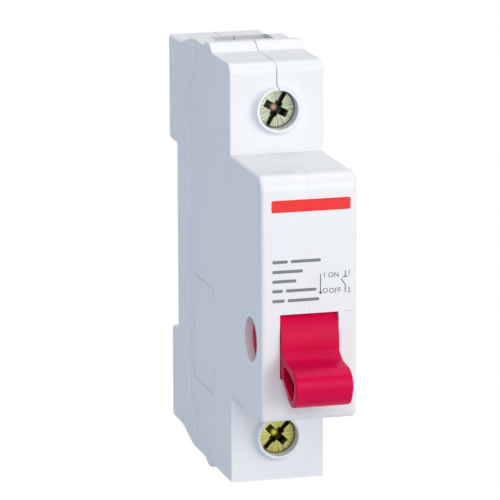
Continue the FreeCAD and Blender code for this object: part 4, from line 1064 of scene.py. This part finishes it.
class SWITCH_OT_stage(bpy.types.Operator):
    """Makes the floor, the light and the camera"""

    bl_idname = "rail_switch.stage"
    bl_label = "Stage"

    # Light: name, place, size in metres, power in watts, colour
    LAMPS = (
        ("key_light", (-0.25, -1.05, 0.62), 0.45, 3.6, "#FFFFFF"),
        ("right_light", (0.6, -0.9, 0.3), 0.8, 4.8, "#FFFCF8"),
        ("low_light", (0.3, -1.15, 0.25), 0.8, 3.4, "#FFFFFF"),
        ("side_light", (-0.95, 0.0, 0.3), 0.8, 2.2, "#B4DCFF"),
        ("top_light", (0.05, 0.1, 0.95), 0.7, 4.6, "#FFFFFF"),
    )
    TARGET = (0.0, -0.03, 0.0)

    # The floor's own glow in rays that show the background, and its share there
    GLOW = 1.045
    GLOW_SHARE = 0.94

    FLOOR_RADIUS = 3.0
    CAMERA_PLACE = (-0.197105, -0.731651, 0.166288)

    def execute(self, context):
        scene = context.scene
        self.make_floor()
        self.make_lamps(scene)
        self.make_camera(scene)
        self.make_sky(scene)
        scene.view_settings.view_transform = "Standard"
        return {"FINISHED"}

    def make_floor(self):
        """A pale floor at the lowest point, white to the camera but for the object's soft shadow."""
        deselect_all()
        bpy.ops.mesh.primitive_circle_add(
            vertices=64, radius=self.FLOOR_RADIUS, fill_type="NGON", location=(0, 0, CAD_BOX[0].z)
        )
        floor = bpy.context.object
        floor.name = "floor"
        apply_place(floor)
        colours = bpy.context.scene.switch_colours
        material, tree = new_material("matt_white_board")
        place = add(tree, "TexCoord", {}, out="Object")
        fibre = add(tree, "TexNoise", {"Vector": place, "Scale": 1 / (2 * MM), "Detail": 2.0})
        tone = add(
            tree, "Mix", {0: fibre, 6: rgba(colours.floor), 7: rgba(colours.floor_fibre)},
            out=2, data_type="RGBA"
        )
        board = add(tree, "BsdfDiffuse", {"Color": tone})
        white = add(tree, "Emission", {"Color": (1, 1, 1, 1), "Strength": self.GLOW})
        seen = self.seen_rays(tree)
        amount = add(tree, "Math", {0: seen, 1: self.GLOW_SHARE}, operation="MULTIPLY")
        surface = add(tree, "MixShader", {0: amount, 1: board, 2: white})
        clear = add(tree, "BsdfTransparent", {})
        under = add(tree, "NewGeometry", {}, out="Backfacing")
        finish_material(tree, add(tree, "MixShader", {0: under, 1: surface, 2: clear}))
        floor.data.materials.append(material)

    def seen_rays(self, tree):
        """One for rays that show the background: straight, mirrored or through glass."""
        total = add(tree, "LightPath", {}, out="Is Camera Ray")
        for kind in ("Is Glossy Ray", "Is Transmission Ray"):
            ray = add(tree, "LightPath", {}, out=kind)
            total = add(tree, "Math", {0: total, 1: ray}, operation="MAXIMUM")
        return total

    def make_lamps(self, scene):
        """Soft square lamps, each turned to the object."""
        for name, place, size, power, code in self.LAMPS:
            data = bpy.data.lights.new(name, "AREA")
            data.shape = "SQUARE"
            data.size = size
            data.energy = power
            data.color = linear(code)
            lamp = bpy.data.objects.new(name, data)
            lamp.location = place
            aim = Vector(self.TARGET) - Vector(place)
            lamp.rotation_euler = aim.to_track_quat("-Z", "Y").to_euler()
            scene.collection.objects.link(lamp)

    def make_camera(self, scene):
        """The camera at the photograph's place and angle."""
        stage = scene.switch_stage
        data = bpy.data.cameras.new("camera")
        data.lens = stage.lens
        data.sensor_width = 36.0
        camera = bpy.data.objects.new("camera", data)
        camera.matrix_world = (
            Matrix.Translation(self.CAMERA_PLACE)
            @ Matrix.Rotation(-stage.heading, 4, "Z")
            @ Matrix.Rotation(pi / 2 - stage.elevation, 4, "X")
            @ Matrix.Rotation(stage.roll, 4, "Z")
        )
        scene.collection.objects.link(camera)
        scene.camera = camera

    def make_sky(self, scene):
        """Even light from all round, and white behind the object."""
        world = bpy.data.worlds.new("soft_room")
        world.use_nodes = True
        tree = world.node_tree
        tree.nodes.clear()
        light = add(
            tree, "Background",
            {"Color": rgba(scene.switch_colours.room), "Strength": scene.switch_stage.sky}
        )
        white = add(tree, "Background", {"Color": (1, 1, 1, 1), "Strength": 1.0})
        both = add(tree, "MixShader", {0: self.seen_rays(tree), 1: light, 2: white})
        add(tree, "OutputWorld", {"Surface": both})
        scene.world = world


OPERATORS = (
    SWITCH_OT_stage,
    SWITCH_OT_housing,
    SWITCH_OT_handle,
    SWITCH_OT_inner_mouldings,
    SWITCH_OT_terminal_screws,
    SWITCH_OT_metal_parts,
    SWITCH_OT_red_band,
    SWITCH_OT_data_bars,
    SWITCH_OT_diagram,
    SWITCH_OT_nose_groove,
)
GROUPS = (
    ("switch_colours", SwitchColours),
    ("switch_sizes", SwitchSizes),
    ("switch_stage", SwitchStage),
)


class SWITCH_PT_panel(bpy.types.Panel):
    """Lists the switch's pieces, sizes and colours"""

    bl_idname = "SWITCH_PT_panel"
    bl_label = "Modular rail switch"
    bl_space_type = "VIEW_3D"
    bl_region_type = "UI"
    bl_category = "Switch"

    def draw(self, context):
        for operator in OPERATORS:
            self.layout.operator(operator.bl_idname)
        for name, group in GROUPS:
            box = self.layout.box()
            for prop in group.__annotations__:
                box.prop(getattr(context.scene, name), prop)


def register():
    """Registers the classes and the settings."""
    for name, group in GROUPS:
        bpy.utils.register_class(group)
        setattr(bpy.types.Scene, name, bpy.props.PointerProperty(type=group))
    for operator in OPERATORS:
        bpy.utils.register_class(operator)
    bpy.utils.register_class(SWITCH_PT_panel)


def unregister():
    """Removes the classes and the settings."""
    bpy.utils.unregister_class(SWITCH_PT_panel)
    for operator in reversed(OPERATORS):
        bpy.utils.unregister_class(operator)
    for name, group in reversed(GROUPS):
        delattr(bpy.types.Scene, name)
        bpy.utils.unregister_class(group)


def main():
    """Builds everything in order."""
    register()
    for operator in OPERATORS:
        group, action = operator.bl_idname.split(".")
        getattr(getattr(bpy.ops, group), action)()


if __name__ == "__main__":
    main()
